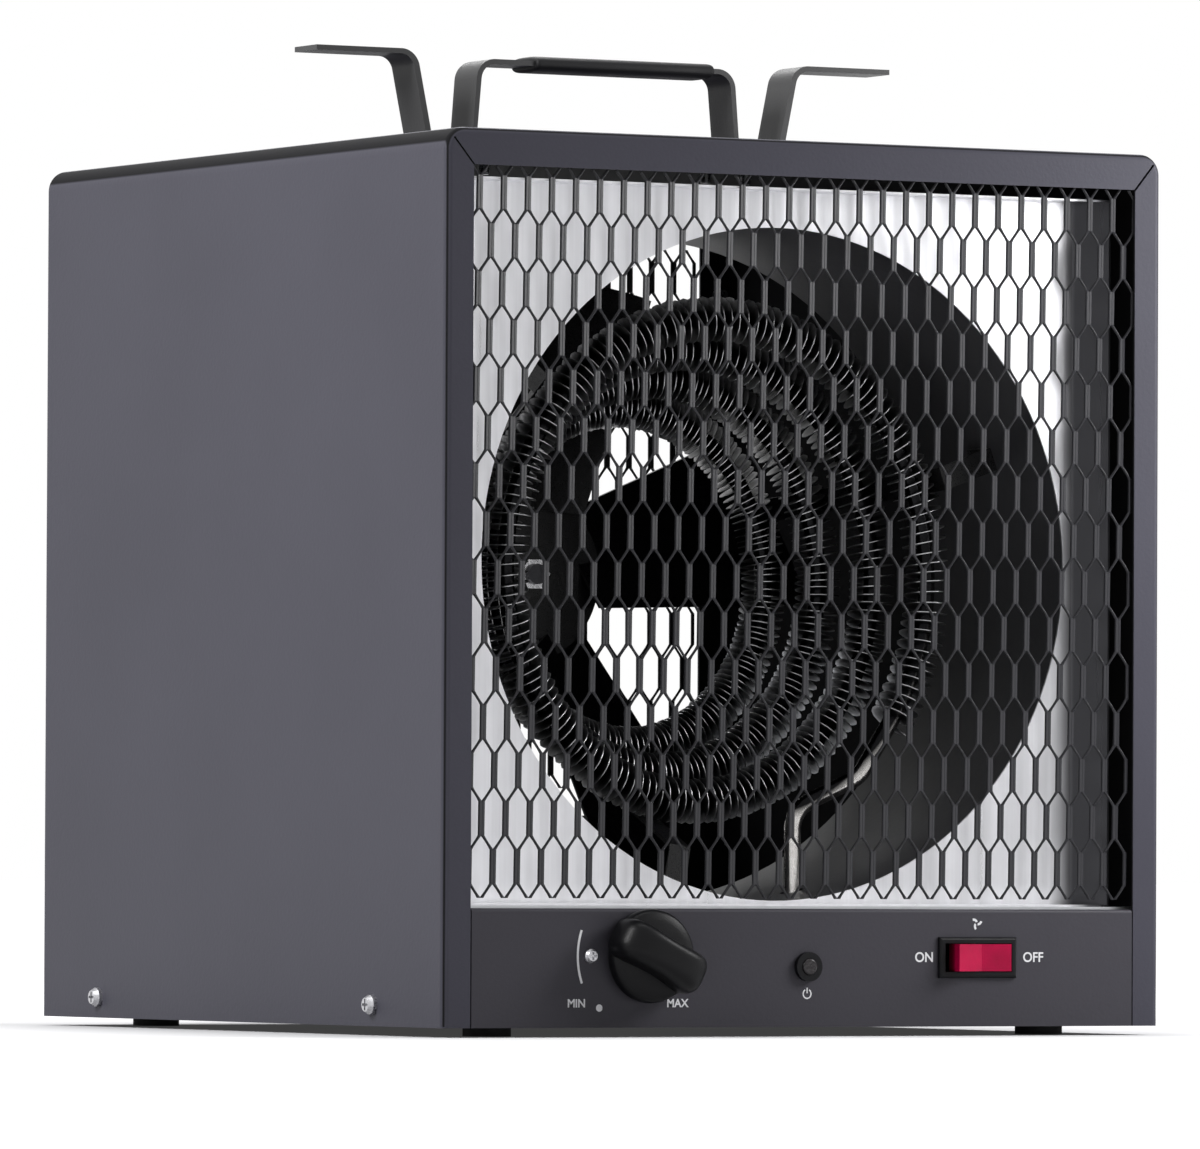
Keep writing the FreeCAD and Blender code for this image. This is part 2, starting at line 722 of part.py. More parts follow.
def make_reflector():
    """Bright plate round the duct mouth, flared forward at its sides, standing on the chamber floor."""
    mouth = f"{FRONT} + flare_depth"
    plane = f"{FRONT} + reflector_depth"
    low = FLOOR_TOP
    high = f"{FLOOR} + reflector_high"
    outer = frustum("reflector_outer", (mouth, f"{plane} + reflector_sheet"), "reflector_half + flare_width",
                    (low, high), "reflector_half", (low, high))
    clear = (f"{low} + reflector_sheet", f"{high} - reflector_sheet")
    inner = frustum("reflector_inner", (mouth, plane), "reflector_half + flare_width - reflector_sheet",
                    clear, "reflector_half - reflector_sheet", clear)
    hole = cylinder("reflector_hole", "y", ("0", AXIS), (mouth, f"{plane} + overrun"), "duct_radius")
    keep("reflector_plate", cut("reflector", outer, inner, hole))


def make_duct(leg_places):
    """Round air duct behind the reflector, with a hole where the front leg of the element comes in."""
    start = f"{FRONT} + reflector_depth + reflector_sheet"
    end = f"{start} + duct_length"
    tube = cylinder("duct_tube", "y", ("0", AXIS), (start, end), "duct_radius + duct_wall")
    bore = cylinder("duct_bore", "y", ("0", AXIS), (f"{start} - overrun", f"{end} + overrun"), "duct_radius")
    leg = cylinder("duct_leg_hole", "z", leg_places[0], (FLOOR, f"{AXIS} - duct_radius / 2"), LEG_HOLE)
    keep("fan_duct", cut("duct", tube, bore, leg))


def spiral(angle):
    """Middle line of the finned tube, taller than wide: its reach falls and its depth grows as it turns."""
    turns = angle / TURN
    radius = size("spiral_radius") - size("spiral_shrink") * turns
    depth = worked(FRONT) + size("spiral_depth") + size("spiral_pitch") * turns
    turn = math.radians(angle)
    rise = size("spiral_tall") * radius * math.sin(turn)
    return FreeCAD.Vector(radius * math.cos(turn), depth, worked(AXIS) + rise)


def heading(path, at, step):
    """Unit direction of a path at a parameter, from points a small step to each side."""
    return (path(at + step) - path(at - step)).normalize()


def arc_edge(start, way, end):
    """The circular edge that leaves start along way and ends at end."""
    chord = end - start
    across = chord - way * chord.dot(way)
    if across.Length < TOLERANCE * chord.Length:
        return Part.makeLine(start, end)
    across.normalize()
    radius = chord.Length ** 2 / (2 * chord.dot(across))
    centre = start + across * radius
    middle = centre + ((start + end) * 0.5 - centre).normalize() * radius
    return Part.Arc(start, middle, end).toShape()


def biarc(start, start_way, end, end_way):
    """Two arcs that join two points and their directions smoothly, with equal handles."""
    chord = end - start
    ways = start_way + end_way
    spread = 2 * (1 - start_way.dot(end_way))
    reach = (math.sqrt(chord.dot(ways) ** 2 + spread * chord.dot(chord)) - chord.dot(ways)) / spread
    meet = (start + end + (start_way - end_way) * reach) * 0.5
    meet_way = (end - end_way * reach - start - start_way * reach).normalize()
    return [arc_edge(start, start_way, meet), arc_edge(meet, meet_way, end)]


def winding_edges(path, first, last, pieces, step):
    """Biarcs along a path between two parameters, in equal pieces."""
    edges = []
    stops = [first + (last - first) * number / pieces for number in range(pieces + 1)]
    for low, high in zip(stops, stops[1:]):
        edges += biarc(path(low), heading(path, low, step), path(high), heading(path, high, step))
    return edges


def bent_edges(points, bend):
    """Straight runs through points, with an arc of one radius at each corner."""
    edges = []
    start = points[0]
    for before, corner, after in zip(points, points[1:], points[2:]):
        into = (corner - before).normalize()
        away = (after - corner).normalize()
        trim = bend * math.tan(into.getAngle(away) / 2)
        edges.append(Part.makeLine(start, corner - into * trim))
        edges.append(arc_edge(corner - into * trim, into, corner + away * trim))
        start = corner + away * trim
    edges.append(Part.makeLine(start, points[-1]))
    return edges


def tube_along(edges, radius):
    """A round tube, closed at its ends, along joined edges."""
    wire = Part.Wire(edges)
    start = edges[0].valueAt(edges[0].FirstParameter)
    way = edges[0].tangentAt(edges[0].FirstParameter)
    ring = Part.Wire(Part.makeCircle(radius, start, way))
    shell = Part.BRepOffsetAPI.MakePipeShell(wire)
    shell.add(ring)
    shell.build()
    shell.makeSolid()
    return shell.shape()


def element_route():
    """Edges of the heating tube: front leg up from the wiring, the spiral, and the rear leg down again."""
    step = TOLERANCE * size("spiral_end")
    first = size("spiral_start")
    last = size("spiral_end")
    begin = spiral(first)
    finish = spiral(last)
    into = begin - heading(spiral, first, step) * size("leg_run")
    out = finish + heading(spiral, last, step) * size("leg_run")
    foot = worked(f"{FLOOR} + leg_foot_height")
    axis = worked(AXIS)
    front_foot = FreeCAD.Vector(size("front_leg_offset"), into.y, foot)
    front_knee = FreeCAD.Vector(size("front_leg_offset"), into.y, axis - size("front_leg_knee"))
    rear_knee = FreeCAD.Vector(out.x, worked(f"{FRONT} + rear_leg_depth"), axis - size("rear_leg_knee"))
    rear_foot = FreeCAD.Vector(out.x, rear_knee.y, foot)
    pieces = 2 * math.ceil((last - first) / QUARTER)
    edges = bent_edges([front_foot, front_knee, into, begin], size("leg_bend"))
    edges += winding_edges(spiral, first, last, pieces, step)
    edges += bent_edges([finish, out, rear_knee, rear_foot], size("leg_bend"))
    return edges, front_foot, rear_foot


def fin_path(share):
    """Middle line of the fin: a helix round the spiral; share runs from 0 to 1 along the finned tube."""
    first = size("spiral_start")
    last = size("spiral_end")
    angle = first + (last - first) * share
    way = heading(spiral, angle, TOLERANCE * last)
    centre = spiral(angle)
    outward = centre - FreeCAD.Vector(0, centre.y, worked(AXIS))
    outward = (outward - way * outward.dot(way)).normalize()
    side = way.cross(outward)
    turn = 2 * math.pi * size("fin_curls") * share
    wire = fin_wire_radius()
    reach = size("tube_radius") + size("fin_seat_gap") + wire
    return centre + outward * (reach * math.cos(turn)) + side * (reach * math.sin(turn))


def fin_wire_radius():
    """Half the fin's height above the tube."""
    return worked("(fin_radius - tube_radius - fin_seat_gap) / 2")


def least_gap(points, radius, window):
    """Least clear distance of a tube to itself, over points that lie more than window steps apart."""
    least = float("inf")
    for number, point in enumerate(points):
        for other in points[number + window:]:
            least = min(least, point.distanceToPoint(other))
    return least - 2 * radius


def make_element():
    """Heating tube, the fin wound on it, its bushings and its terminal pins."""
    edges, front_foot, rear_foot = element_route()
    tube = doc.addObject("Part::Feature", "element_tube")
    tube.Shape = tube_along(edges, size("tube_radius"))
    keep("heating_element", tube)
    length = sum(edge.Length for edge in edges)
    section = math.pi * size("tube_radius") ** 2
    print("heating_element volume over section times length", tube.Shape.Volume / (section * length))

    curls = int(size("fin_curls"))
    wire = fin_wire_radius()
    step = TOLERANCE / curls
    start_way = heading(fin_path, 0, step)
    end_way = heading(fin_path, 1, step)
    fin_edges = [Part.makeLine(fin_path(0) - start_way * (2 * wire), fin_path(0))]
    fin_edges += winding_edges(fin_path, 0, 1, TURN // QUARTER * curls, step)
    fin_edges.append(Part.makeLine(fin_path(1), fin_path(1) + end_way * (2 * wire)))
    fin = doc.addObject("Part::Feature", "element_winding")
    fin.Shape = tube_along(fin_edges, wire)
    keep("element_fin", fin)
    fin_length = sum(edge.Length for edge in fin_edges)
    fin_section = math.pi * wire ** 2
    print("element_fin volume over section times length", fin.Shape.Volume / (fin_section * fin_length))
    samples = 16
    points = [fin_path(number / (samples * curls)) for number in range(samples * curls + 1)]
    print("element_fin least gap to itself", least_gap(points, wire, samples // 2))

    return [(str(foot.x), str(foot.y)) for foot in (front_foot, rear_foot)]


def make_element_fittings(leg_places):
    """Ceramic bushings in the chamber floor and the pins on the ends of the element."""
    low = f"{FLOOR_TOP} - bushing_length"
    end = f"{FLOOR} + leg_foot_height"
    for number, centre in enumerate(leg_places, start=1):
        flange = cylinder(f"bushing_flange_{number}", "z", centre,
                          (FLOOR_TOP, f"{FLOOR_TOP} + bushing_flange"), "bushing_flange_radius")
        neck = cylinder(f"bushing_neck_{number}", "z", centre, (low, FLOOR_TOP), "bushing_radius")
        bore = cylinder(f"bushing_bore_{number}", "z", centre,
                        (f"{low} - overrun", f"{FLOOR_TOP} + overrun"), "tube_radius + leg_gap")
        blank = fuse(f"bushing_blank_{number}", flange, neck)
        keep(f"element_bushing_{number}", cut(f"bushing_{number}", blank, bore))
        pin = cylinder(f"pin_{number}", "z", centre, (f"{end} - pin_length", end), "pin_radius")
        keep(f"element_pin_{number}", pin)


def make_element_supports():
    """Bent straps that run along the outside of the spiral and stand on the duct wall."""
    slant = "sqrt(spiral_pitch ^ 2 + spiral_shrink ^ 2)"

    def beside(turn, away, stretch):
        radius = f"(spiral_radius - spiral_shrink * {turn}) * {stretch} + ({away}) * spiral_pitch / {slant}"
        depth = f"{FRONT} + spiral_depth + spiral_pitch * {turn} + ({away}) * spiral_shrink / {slant}"
        return radius, depth

    inner = "fin_radius + support_gap"
    outer = "fin_radius + support_gap + support_sheet"
    seat = "duct_radius - support_gap / 2"
    for number in range(int(size("support_count"))):
        angle = f"(support_angle + {number} * {TURN} / support_count)"
        lean = f"(spiral_tall * cos({angle} * 1 deg)) ^ 2 + sin({angle} * 1 deg) ^ 2"
        stretch = f"spiral_tall / sqrt({lean})"
        elbow = beside("support_first_turn", outer, stretch)
        outline = [
            beside("support_first_turn", inner, stretch),
            beside("support_last_turn", inner, stretch),
            beside("support_last_turn", outer, stretch),
            elbow,
            (f"{seat} - support_sheet", elbow[1]),
            (f"{seat} - support_sheet", f"{elbow[1]} + support_foot"),
            (seat, f"{elbow[1]} + support_foot"),
            (seat, f"{elbow[1]} - support_sheet"),
        ]
        strap = padded(f"support_{number}", "XY_Plane", outline, "support_width")
        holder = turned(f"support_turn_{number}", strap, (0, -1, 0), angle)
        keep(f"element_support_{number + 1}", place(holder, z=AXIS))


def make_overheat_cutout():
    """Round over-temperature switch clipped under the chamber floor, with two terminals."""
    centre = ("cutout_offset", f"{FRONT} + cutout_depth")
    top = f"{FLOOR} + panel_height"
    low = f"{top} - cutout_height"
    can = cylinder("cutout_can", "z", centre, (low, top), "cutout_radius")
    blades = []
    for side in SIDES:
        across = f"{centre[0]} + ({side}) * cutout_radius / 2"
        blades.append(box(f"cutout_blade_{side + 1}", about(across, "spade_sheet / 2"),
                          about(centre[1], "spade_width / 2"), (f"{low} - spade_length", low)))
    keep("overheat_cutout", fuse("cutout", can, *blades))


def make_thermostat():
    """Thermostat behind the panel, its turning stem, the knob on the stem and the screw in its ear."""
    back = f"{FRONT} + panel_sheet"
    case = box("thermostat_case", about(DIAL[0], "thermostat_width / 2"),
               (back, f"{back} + thermostat_depth"), about(DIAL[1], "thermostat_tall / 2"))
    ear = box("thermostat_ear_plate", (f"{DIAL_SCREW[0]} - thermostat_ear_tall / 2", DIAL[0]),
              (back, f"{back} + thermostat_ear"), about(DIAL[1], "thermostat_ear_tall / 2"))
    bush = cylinder("thermostat_bush", "y", DIAL, (FRONT, back), "thermostat_bush_radius")
    bore = cylinder("thermostat_bore", "y", DIAL,
                    (f"{FRONT} - overrun", f"{back} + stem_inside + stem_end_gap"), "stem_radius + stem_gap")
    tapped = cylinder("thermostat_hole", "y", DIAL_SCREW, (back, f"{back} + thermostat_depth"), THREAD)
    keep("thermostat_body", cut("thermostat", fuse("thermostat_blank", case, ear, bush), bore, tapped))
    small = screw("dial_screw", "y", -1, DIAL_SCREW, FRONT, "dial_head_share", "dial_head_share")
    keep("thermostat_screw", small)

    centre = ("0", "0")
    face = f"{FRONT} - knob_lift"
    nose = f"{FRONT} - stem_reach"
    rod = cylinder("stem_rod", "y", centre, (nose, f"{back} + stem_inside"), "stem_radius")
    flat = box("stem_flat_cut", both("stem_radius"), (f"{nose} - overrun", face),
               ("stem_radius - stem_flat", "2 * stem_radius"))
    stem = cut("stem", rod, flat)

    skirt = cone("knob_skirt_disc", "y", centre, (f"{face} - knob_skirt", face),
                 ("knob_skirt_radius - knob_taper", "knob_skirt_radius"))
    tip = worked(f"{FRONT} - knob_reach")
    bar = box("knob_bar", both("knob_skirt_radius + knob_bar_overhang"),
              (f"{FRONT} - knob_reach", f"{face} - knob_taper"), both("knob_bar_width / 2"))
    ends = rounded("knob_bar_ends", bar, size("knob_bar_radius"), lambda middle, way: near(abs(way.y), 1))
    grip = rounded("knob_bar_edges", ends, size("knob_edge_radius"), lambda middle, way: near(middle.y, tip))
    socket = cylinder("knob_socket", "y", centre, (f"{nose} - stem_end_gap", f"{FRONT} + overrun"),
                      "stem_radius + stem_gap")
    key = box("knob_key", both("2 * stem_radius"), (f"{nose} - overrun", f"{FRONT} + 2 * overrun"),
              ("stem_radius - stem_flat + stem_gap", "2 * stem_radius"))
    knob = cut("knob", fuse("knob_blank", skirt, grip), cut("knob_socket_keyed", socket, key))
    for name, piece in (("thermostat_shaft", stem), ("thermostat_knob", knob)):
        holder = turned(name + "_set", piece, (0, 1, 0), "knob_pointer")
        keep(name, place(holder, x=DIAL[0], z=DIAL[1]))


def make_switch():
    """Rocker switch: housing with its bezel, the rocker on two pivot pins, and the terminals."""
    proud = f"{FRONT} - bezel_proud"
    rim = box("bezel_block", about(SWITCH[0], "bezel_width / 2"), (proud, FRONT),
              about(SWITCH[1], "bezel_tall / 2"))
    front = worked(proud)
    bezel = rounded("bezel_rim", rim, size("bezel_edge"), lambda middle, way: near(middle.y, front))
    rear = f"{FRONT} + switch_body_depth"
    body = box("switch_block", about(SWITCH[0], "switch_body_width / 2"), (FRONT, rear),
               about(SWITCH[1], "switch_body_tall / 2"))
    room = box("switch_room", about(SWITCH[0], "switch_window_width / 2"),
               (f"{proud} - overrun", f"{FRONT} + switch_cavity"),
               about(SWITCH[1], "switch_window_tall / 2"))
    pivot = (SWITCH[0], f"{FRONT} + rocker_pivot_depth")
    bearing = cylinder("switch_pivot_hole", "z", pivot, about(SWITCH[1], "switch_body_tall"),
                       "rocker_pin_radius + rocker_pin_gap")
    keep("switch_housing", cut("switch", fuse("switch_blank", bezel, body), room, bearing))

    top = "-(rocker_pivot_depth + rocker_rise)"
    outline = [("-rocker_half", top), ("0", f"{top} + rocker_dish"), ("rocker_half", top),
               ("rocker_heel_half", "rocker_heel"), ("-rocker_heel_half", "rocker_heel")]
    paddle = padded("rocker_paddle", "XY_Plane", outline, "rocker_tall")
    pin = cylinder("rocker_pin", "z", ("0", "0"), both("rocker_pin_length / 2"), "rocker_pin_radius")
    rocker = turned("rocker_set", fuse("rocker", paddle, pin), (0, 0, 1), "rocker_tilt")
    keep("switch_rocker", place(rocker, pivot[0], pivot[1], SWITCH[1]))

    blades = []
    for number in range(int(size("switch_poles"))):
        across = f"{SWITCH[0]} + ({number} - (switch_poles - 1) / 2) * switch_body_width / switch_poles"
        blades.append(box(f"switch_blade_{number}", about(across, "spade_sheet / 2"),
                          (rear, f"{rear} + spade_length"), about(SWITCH[1], "spade_width / 2")))
    keep("switch_terminals", group("switch_blades", *blades))


def make_lamp():
    """Power indicator: bezel and barrel in one, a domed lens in it, and the nut behind the panel."""
    proud = f"{FRONT} - lamp_bezel_proud"
    flange = cylinder("lamp_flange", "y", LAMP, (proud, FRONT), "lamp_bezel_radius")
    barrel = cylinder("lamp_barrel", "y", LAMP, (FRONT, f"{FRONT} + lamp_barrel_length"),
                      "lamp_barrel_radius")
    tip = f"{FRONT} - lamp_lens_proud"
    bore = cylinder("lamp_bore", "y", LAMP, (f"{proud} - overrun", f"{tip} + lamp_lens_length"),
                    "lamp_bore_radius")
    keep("indicator_bezel", cut("lamp", fuse("lamp_blank", flange, barrel), bore))
    rod = cylinder("lens_rod", "y", LAMP, (tip, f"{tip} + lamp_lens_length"), "lamp_bore_radius - lamp_gap")
    front = worked(tip)
    dome = rounded("lens", rod, worked("lamp_lens_proud - lamp_bezel_proud"),
                   lambda middle, way: near(middle.y, front))
    keep("indicator_lens", dome)
    back = f"{FRONT} + panel_sheet"
    nut = hexagon("lamp_nut_blank", "y", LAMP, (back, f"{back} + lamp_nut_thickness"), "lamp_nut_radius")
    thread = cylinder("lamp_nut_bore", "y", LAMP, (FRONT, f"{back} + lamp_nut_thickness + overrun"),
                      "lamp_barrel_radius + lamp_gap")
    keep("indicator_nut", cut("lamp_nut", nut, thread))


def folded_strap(name, outline, bends):
    """A strap padded from its side outline, with each named corner rounded."""
    body = padded(name + "_strap", "XZ_Plane", outline, "strap_width")
    for number, (corner, radius) in enumerate(bends):
        across, up = [worked(text) for text in outline[corner]]

        def bend_line(middle, way):
            """Whether an edge runs across the strap at the corner in hand."""
            return near(abs(way.y), 1) and near(middle.x, across) and near(middle.z, up)

        body = rounded(f"{name}_bend_{number}", body, worked(radius), bend_line)
    return body


OUTSIDE = "strap_bend + strap_sheet"
FOOT_OUTSIDE = "strap_foot_bend + strap_sheet"


def make_handle():
    """Bent steel carrying handle with a sleeve grip, screwed to the top of the cabinet."""
    foot = "(handle_base + strap_sheet / 2)"
    knee = "(handle_base - handle_lean + strap_sheet / 2)"
    tab = "(handle_base - strap_tab)"
    right = [(knee, "handle_rise"), (foot, "0"), (tab, "0"), (tab, "strap_sheet"),
             (f"{foot} - strap_sheet", "strap_sheet"),
             (f"{knee} - strap_sheet", "handle_rise - strap_sheet")]
    left = [(f"-({across})", up) for across, up in reversed(right)]
    bends = [(0, OUTSIDE), (1, FOOT_OUTSIDE), (4, "strap_foot_bend"), (5, "strap_bend"), (6, "strap_bend"),
             (7, "strap_foot_bend"), (10, FOOT_OUTSIDE), (11, OUTSIDE)]
    strap = folded_strap("handle", right + left, bends)
    drilled = holes("handle_hole", "z", HANDLE_SCREWS, both("overrun"), LOOSE)
    keep("handle_strap", place(cut("handle", strap, *drilled), z=TOP))
    screws("handle_screws", "z", 1, HANDLE_SCREWS, f"({TOP} + strap_sheet)")

    middle = f"{TOP} + handle_rise - strap_sheet / 2"
    span = about("grip_offset", "grip_length / 2")
    sleeve = box("grip_sleeve", span, both("grip_width / 2"), about(middle, "grip_thickness / 2"))
    soft = rounded("grip_soft", sleeve, size("grip_radius"), lambda spot, way: near(abs(way.x), 1))
    slot = box("grip_slot", (f"{span[0]} - overrun", f"{span[1]} + overrun"),
               both("strap_width / 2 + grip_gap"), about(middle, "strap_sheet / 2 + grip_gap"))
    keep("handle_grip", cut("grip", soft, slot))


def make_hooks():
    """Two bent strips that the cord is wound round."""
    foot = "(hook_base + strap_sheet / 2)"
    knee = "(hook_base + hook_lean + strap_sheet / 2)"
    tab = "(hook_base - strap_tab)"
    under = "hook_rise - strap_sheet"
    outline = [(tab, "0"), (foot, "0"), (knee, under), ("hook_reach", under), ("hook_reach", "hook_rise"),
               (f"{knee} - strap_sheet", "hook_rise"), (f"{foot} - strap_sheet", "strap_sheet"),
               (tab, "strap_sheet")]
    bends = [(1, FOOT_OUTSIDE), (2, "strap_bend"), (5, OUTSIDE), (6, "strap_foot_bend")]
    for side, name in zip(SIDES, ("cord_hook_left", "cord_hook_right")):
        turned_outline = [(f"({side}) * ({across})", up) for across, up in outline]
        strap = folded_strap(name, turned_outline, bends)
        drilled = holes(name + "_hole", "z", HOOK_SCREWS, both("overrun"), LOOSE)
        keep(name, place(cut(name + "_drilled", strap, *drilled), z=TOP))
    screws("cord_hook_screws", "z", 1, HOOK_SCREWS, f"({TOP} + strap_sheet)")


def make_side_screws():
    """Screws through the cabinet sides into the base pan."""
    made = []
    for side in SIDES:
        for number, centre in enumerate(SIDE_SCREW_ROWS):
            made.append(screw(f"side_screw_{side + 1}_{number}", "x", side, centre, f"({side}) * {HALF}"))
    keep("side_screws", group("side_screw_set", *made))


def make_fan():
    """Pressed axial fan: pitched blades on a hub disc, with a boss that the shaft nut clamps.

    A blade's two straight edges open from a point behind the axis, and its tip is round about the axis.
    """
    slab = box("fan_slab", ("fan_root", "fan_tip_radius + overrun"), both("fan_sheet / 2"),
               both("fan_tip_radius"))
    pitched = turned("fan_pitched", slab, (-1, 0, 0), "fan_pitch")
    swept = both("fan_swept_depth / 2")
    wedge = cylinder("fan_wedge", "y", ("0", "0"), swept, "fan_tip_radius + fan_sector_offset")
    bind(wedge, Angle="fan_sector")
    middle = place(turned("fan_wedge_middle", wedge, (0, -1, 0), "fan_sector / 2"), x="-fan_sector_offset")
    sector = common("fan_outline", middle, cylinder("fan_tips", "y", ("0", "0"), swept, "fan_tip_radius"))
    blades = []
    count = int(size("fan_blades"))
    for number in range(count):
        blade = common(f"fan_blade_{number}", pitched, sector)
        angle = f"fan_phase + {number} * {TURN} / fan_blades"
        blades.append(turned(f"fan_blade_turn_{number}", blade, (0, -1, 0), angle))
    disc = cylinder("fan_disc", "y", ("0", "0"), both("fan_sheet"), "fan_hub_radius")
    boss = cylinder("fan_boss", "y", ("0", "0"), both("fan_boss_length / 2"), "fan_boss_radius")
    bore = cylinder("fan_bore", "y", ("0", "0"), both("fan_boss_length"), "shaft_radius + fan_bore_gap")
    fan = cut("fan", fuse("fan_blank", disc, boss, *blades), bore)
    keep("fan_blades", place(fan, y=f"{FRONT} + fan_depth", z=AXIS))
    seat = f"{FRONT} + fan_depth - fan_boss_length / 2"
    tip = f"{seat} - fan_nut_height"
    nut = hexagon("fan_nut_blank", "y", ("0", AXIS), (tip, seat), "fan_nut_radius")
    thread = cylinder("fan_nut_bore", "y", ("0", AXIS), (f"{tip} - overrun", f"{seat} + overrun"),
                      "shaft_radius + fan_bore_gap")
    keep("fan_nut", cut("fan_nut_drilled", nut, thread))


def make_motor():
    """Fan motor in two cup shells: stator, rotor on the shaft, a bearing in each shell, and its bracket."""
    centre = ("0", AXIS)
    front = f"({FRONT} + motor_front_depth)"
    split = f"({front} + motor_shell_length)"
    rear = f"({front} + 2 * motor_shell_length)"
    for end, outside, sign in (("front", front, 1), ("rear", rear, -1)):
        name = f"motor_{end}_shell"
        wall = f"({outside} + ({sign}) * motor_shell_wall)"
        seat = f"({wall} + ({sign}) * bearing_length)"
        face = worked(outside)

        def ordered(first, second):
            """Two expressions, the lower one first."""
            return sorted((first, second), key=worked)

        can = cylinder(name + "_can", "y", centre, ordered(outside, split), "motor_radius")
        crown = rounded(name + "_crown", can, size("motor_shell_radius"),
                        lambda middle, way: near(middle.y, face))
        room = cylinder(name + "_room", "y", centre, ordered(wall, f"{split} + ({sign}) * overrun"),
                        "motor_radius - motor_shell_wall")
        corner = worked(wall)
        cavity = rounded(name + "_cavity", room, worked("motor_shell_radius - motor_shell_wall"),
                         lambda middle, way: near(middle.y, corner))
        housing = cylinder(name + "_housing", "y", centre, ordered(wall, seat),
                           "bearing_radius + bearing_housing")
        socket = cylinder(name + "_socket", "y", centre, ordered(wall, f"{seat} + ({sign}) * overrun"),
                          "bearing_radius")
        cup = fuse(name + "_blank", cut(name + "_cup", crown, cavity), housing)
        through = (f"{outside} - overrun", f"{outside} + overrun")
        cutters = [socket]
        if end == "front":
            cutters.append(cylinder(name + "_eye", "y", centre, through, "shaft_radius + shaft_hole_gap"))
        else:
            cutters += holes(name + "_hole", "y", MOTOR_SCREWS, through, THREAD)
        keep(name, cut(name + "_drilled", cup, *cutters))
        ring = cylinder(name + "_bearing_ring", "y", centre, ordered(wall, seat), "bearing_radius")
        eye = cylinder(name + "_bearing_eye", "y", centre, (f"{front} - overrun", f"{rear} + overrun"),
                       "shaft_radius + bearing_gap")
        keep(f"motor_{end}_bearing", cut(name + "_bearing", ring, eye))

    stack = cylinder("stator_stack", "y", centre, about(split, "stator_length / 2"),
                     "motor_radius - motor_shell_wall - stator_gap")
    stator_bore = cylinder("stator_bore_cut", "y", centre, about(split, "stator_length"), "stator_bore")
    keep("motor_stator", cut("stator", stack, stator_bore))
    nose = f"{FRONT} + fan_depth - fan_boss_length / 2 - shaft_nose"
    tail = f"{rear} - motor_shell_wall - shaft_end_gap"
    keep("motor_shaft", cylinder("shaft", "y", centre, (nose, tail), "shaft_radius"))
    core = cylinder("rotor_core", "y", centre, about(split, "rotor_length / 2"), "rotor_radius")
    rotor_bore = cylinder("rotor_bore_cut", "y", centre, about(split, "rotor_length"),
                          "shaft_radius + fan_bore_gap")
    keep("motor_rotor", cut("rotor", core, rotor_bore))

    tall = about(AXIS, "bracket_height / 2")
    inner = "(rear_window_half + rear_grille_lap + bracket_gap)"
    outer = f"({inner} + bracket_sheet)"
    pieces = [box("bracket_bar", both(outer), (rear, f"{rear} + bracket_sheet"), tall)]
    for side in SIDES:
        web = sorted((f"({side}) * {inner}", f"({side}) * {outer}"), key=worked)
        foot = sorted((f"({side}) * {inner}", f"({side}) * ({outer} + bracket_end)"), key=worked)
        pieces.append(box(f"bracket_web_{side + 1}", web, (rear, REAR_PLANE), tall))
        pieces.append(box(f"bracket_foot_{side + 1}", foot, (f"{REAR_PLANE} - bracket_sheet", REAR_PLANE),
                          tall))
    drilled = holes("bracket_motor_hole", "y", MOTOR_SCREWS, (f"{rear} - overrun", f"{rear} + overrun"),
                    LOOSE)
    drilled += holes("bracket_rear_hole", "y", REAR_SCREWS, THROUGH_REAR, THREAD)
    keep("motor_bracket", cut("bracket", fuse("bracket_blank", *pieces), *drilled))
    screws("motor_screws", "y", 1, MOTOR_SCREWS, f"({rear} + bracket_sheet)")


def make_supply():
    """Cord gland in the rear panel with its lock nut, and the terminal block on the base pan."""
    out = f"({REAR} - skin)"
    tip = f"{REAR} + gland_reach"
    inside = f"{REAR_PLANE} - gland_inside"
    collar = hexagon("gland_hex", "y", GLAND, (out, f"{out} + gland_hex_length"), "gland_hex_radius")
    dome = cone("gland_dome", "y", GLAND, (f"{out} + gland_hex_length", tip),
                ("gland_dome_radius", "gland_mouth_radius"))
    thread = cylinder("gland_thread", "y", GLAND, (inside, out), "gland_thread_radius")
    bore = cylinder("gland_bore_cut", "y", GLAND, (f"{inside} - overrun", f"{tip} + overrun"), "gland_bore")
    keep("cord_gland", cut("gland", fuse("gland_blank", collar, dome, thread), bore))
    nut = hexagon("locknut_blank", "y", GLAND, (f"{REAR_PLANE} - locknut_thickness", REAR_PLANE),
                  "locknut_radius")
    eye = cylinder("locknut_bore", "y", GLAND, (inside, out), "gland_thread_radius + gland_gap")
    keep("gland_locknut", cut("locknut", nut, eye))

    low = f"({FLOOR} + pan_sheet)"
    shelf = f"({low} + block_height - block_step)"
    long = about(BLOCK[0], "block_length / 2")
    base = box("block_base", long, about(BLOCK[1], "block_width / 2"), (low, shelf))
    ridge = box("block_ridge", long, about(BLOCK[1], "block_width / 2 - block_post - head_radius"),
                (low, f"{low} + block_height"))
    poles = int(size("block_poles"))
    spots = []
    for number in range(poles):
        for side in SIDES:
            across = f"{BLOCK[0]} + ({number} - (block_poles - 1) / 2) * block_length / block_poles"
            spots.append((across, f"{BLOCK[1]} + ({side}) * (block_width / 2 - block_post)"))
    drilled = holes("block_hole", "z", spots,
                    (f"{shelf} - screw_length - block_hole_spare", f"{shelf} + overrun"), THREAD)
    keep("terminal_block", cut("block", fuse("block_blank", base, ridge), *drilled))
    screws("terminal_screws", "z", 1, spots, shelf)


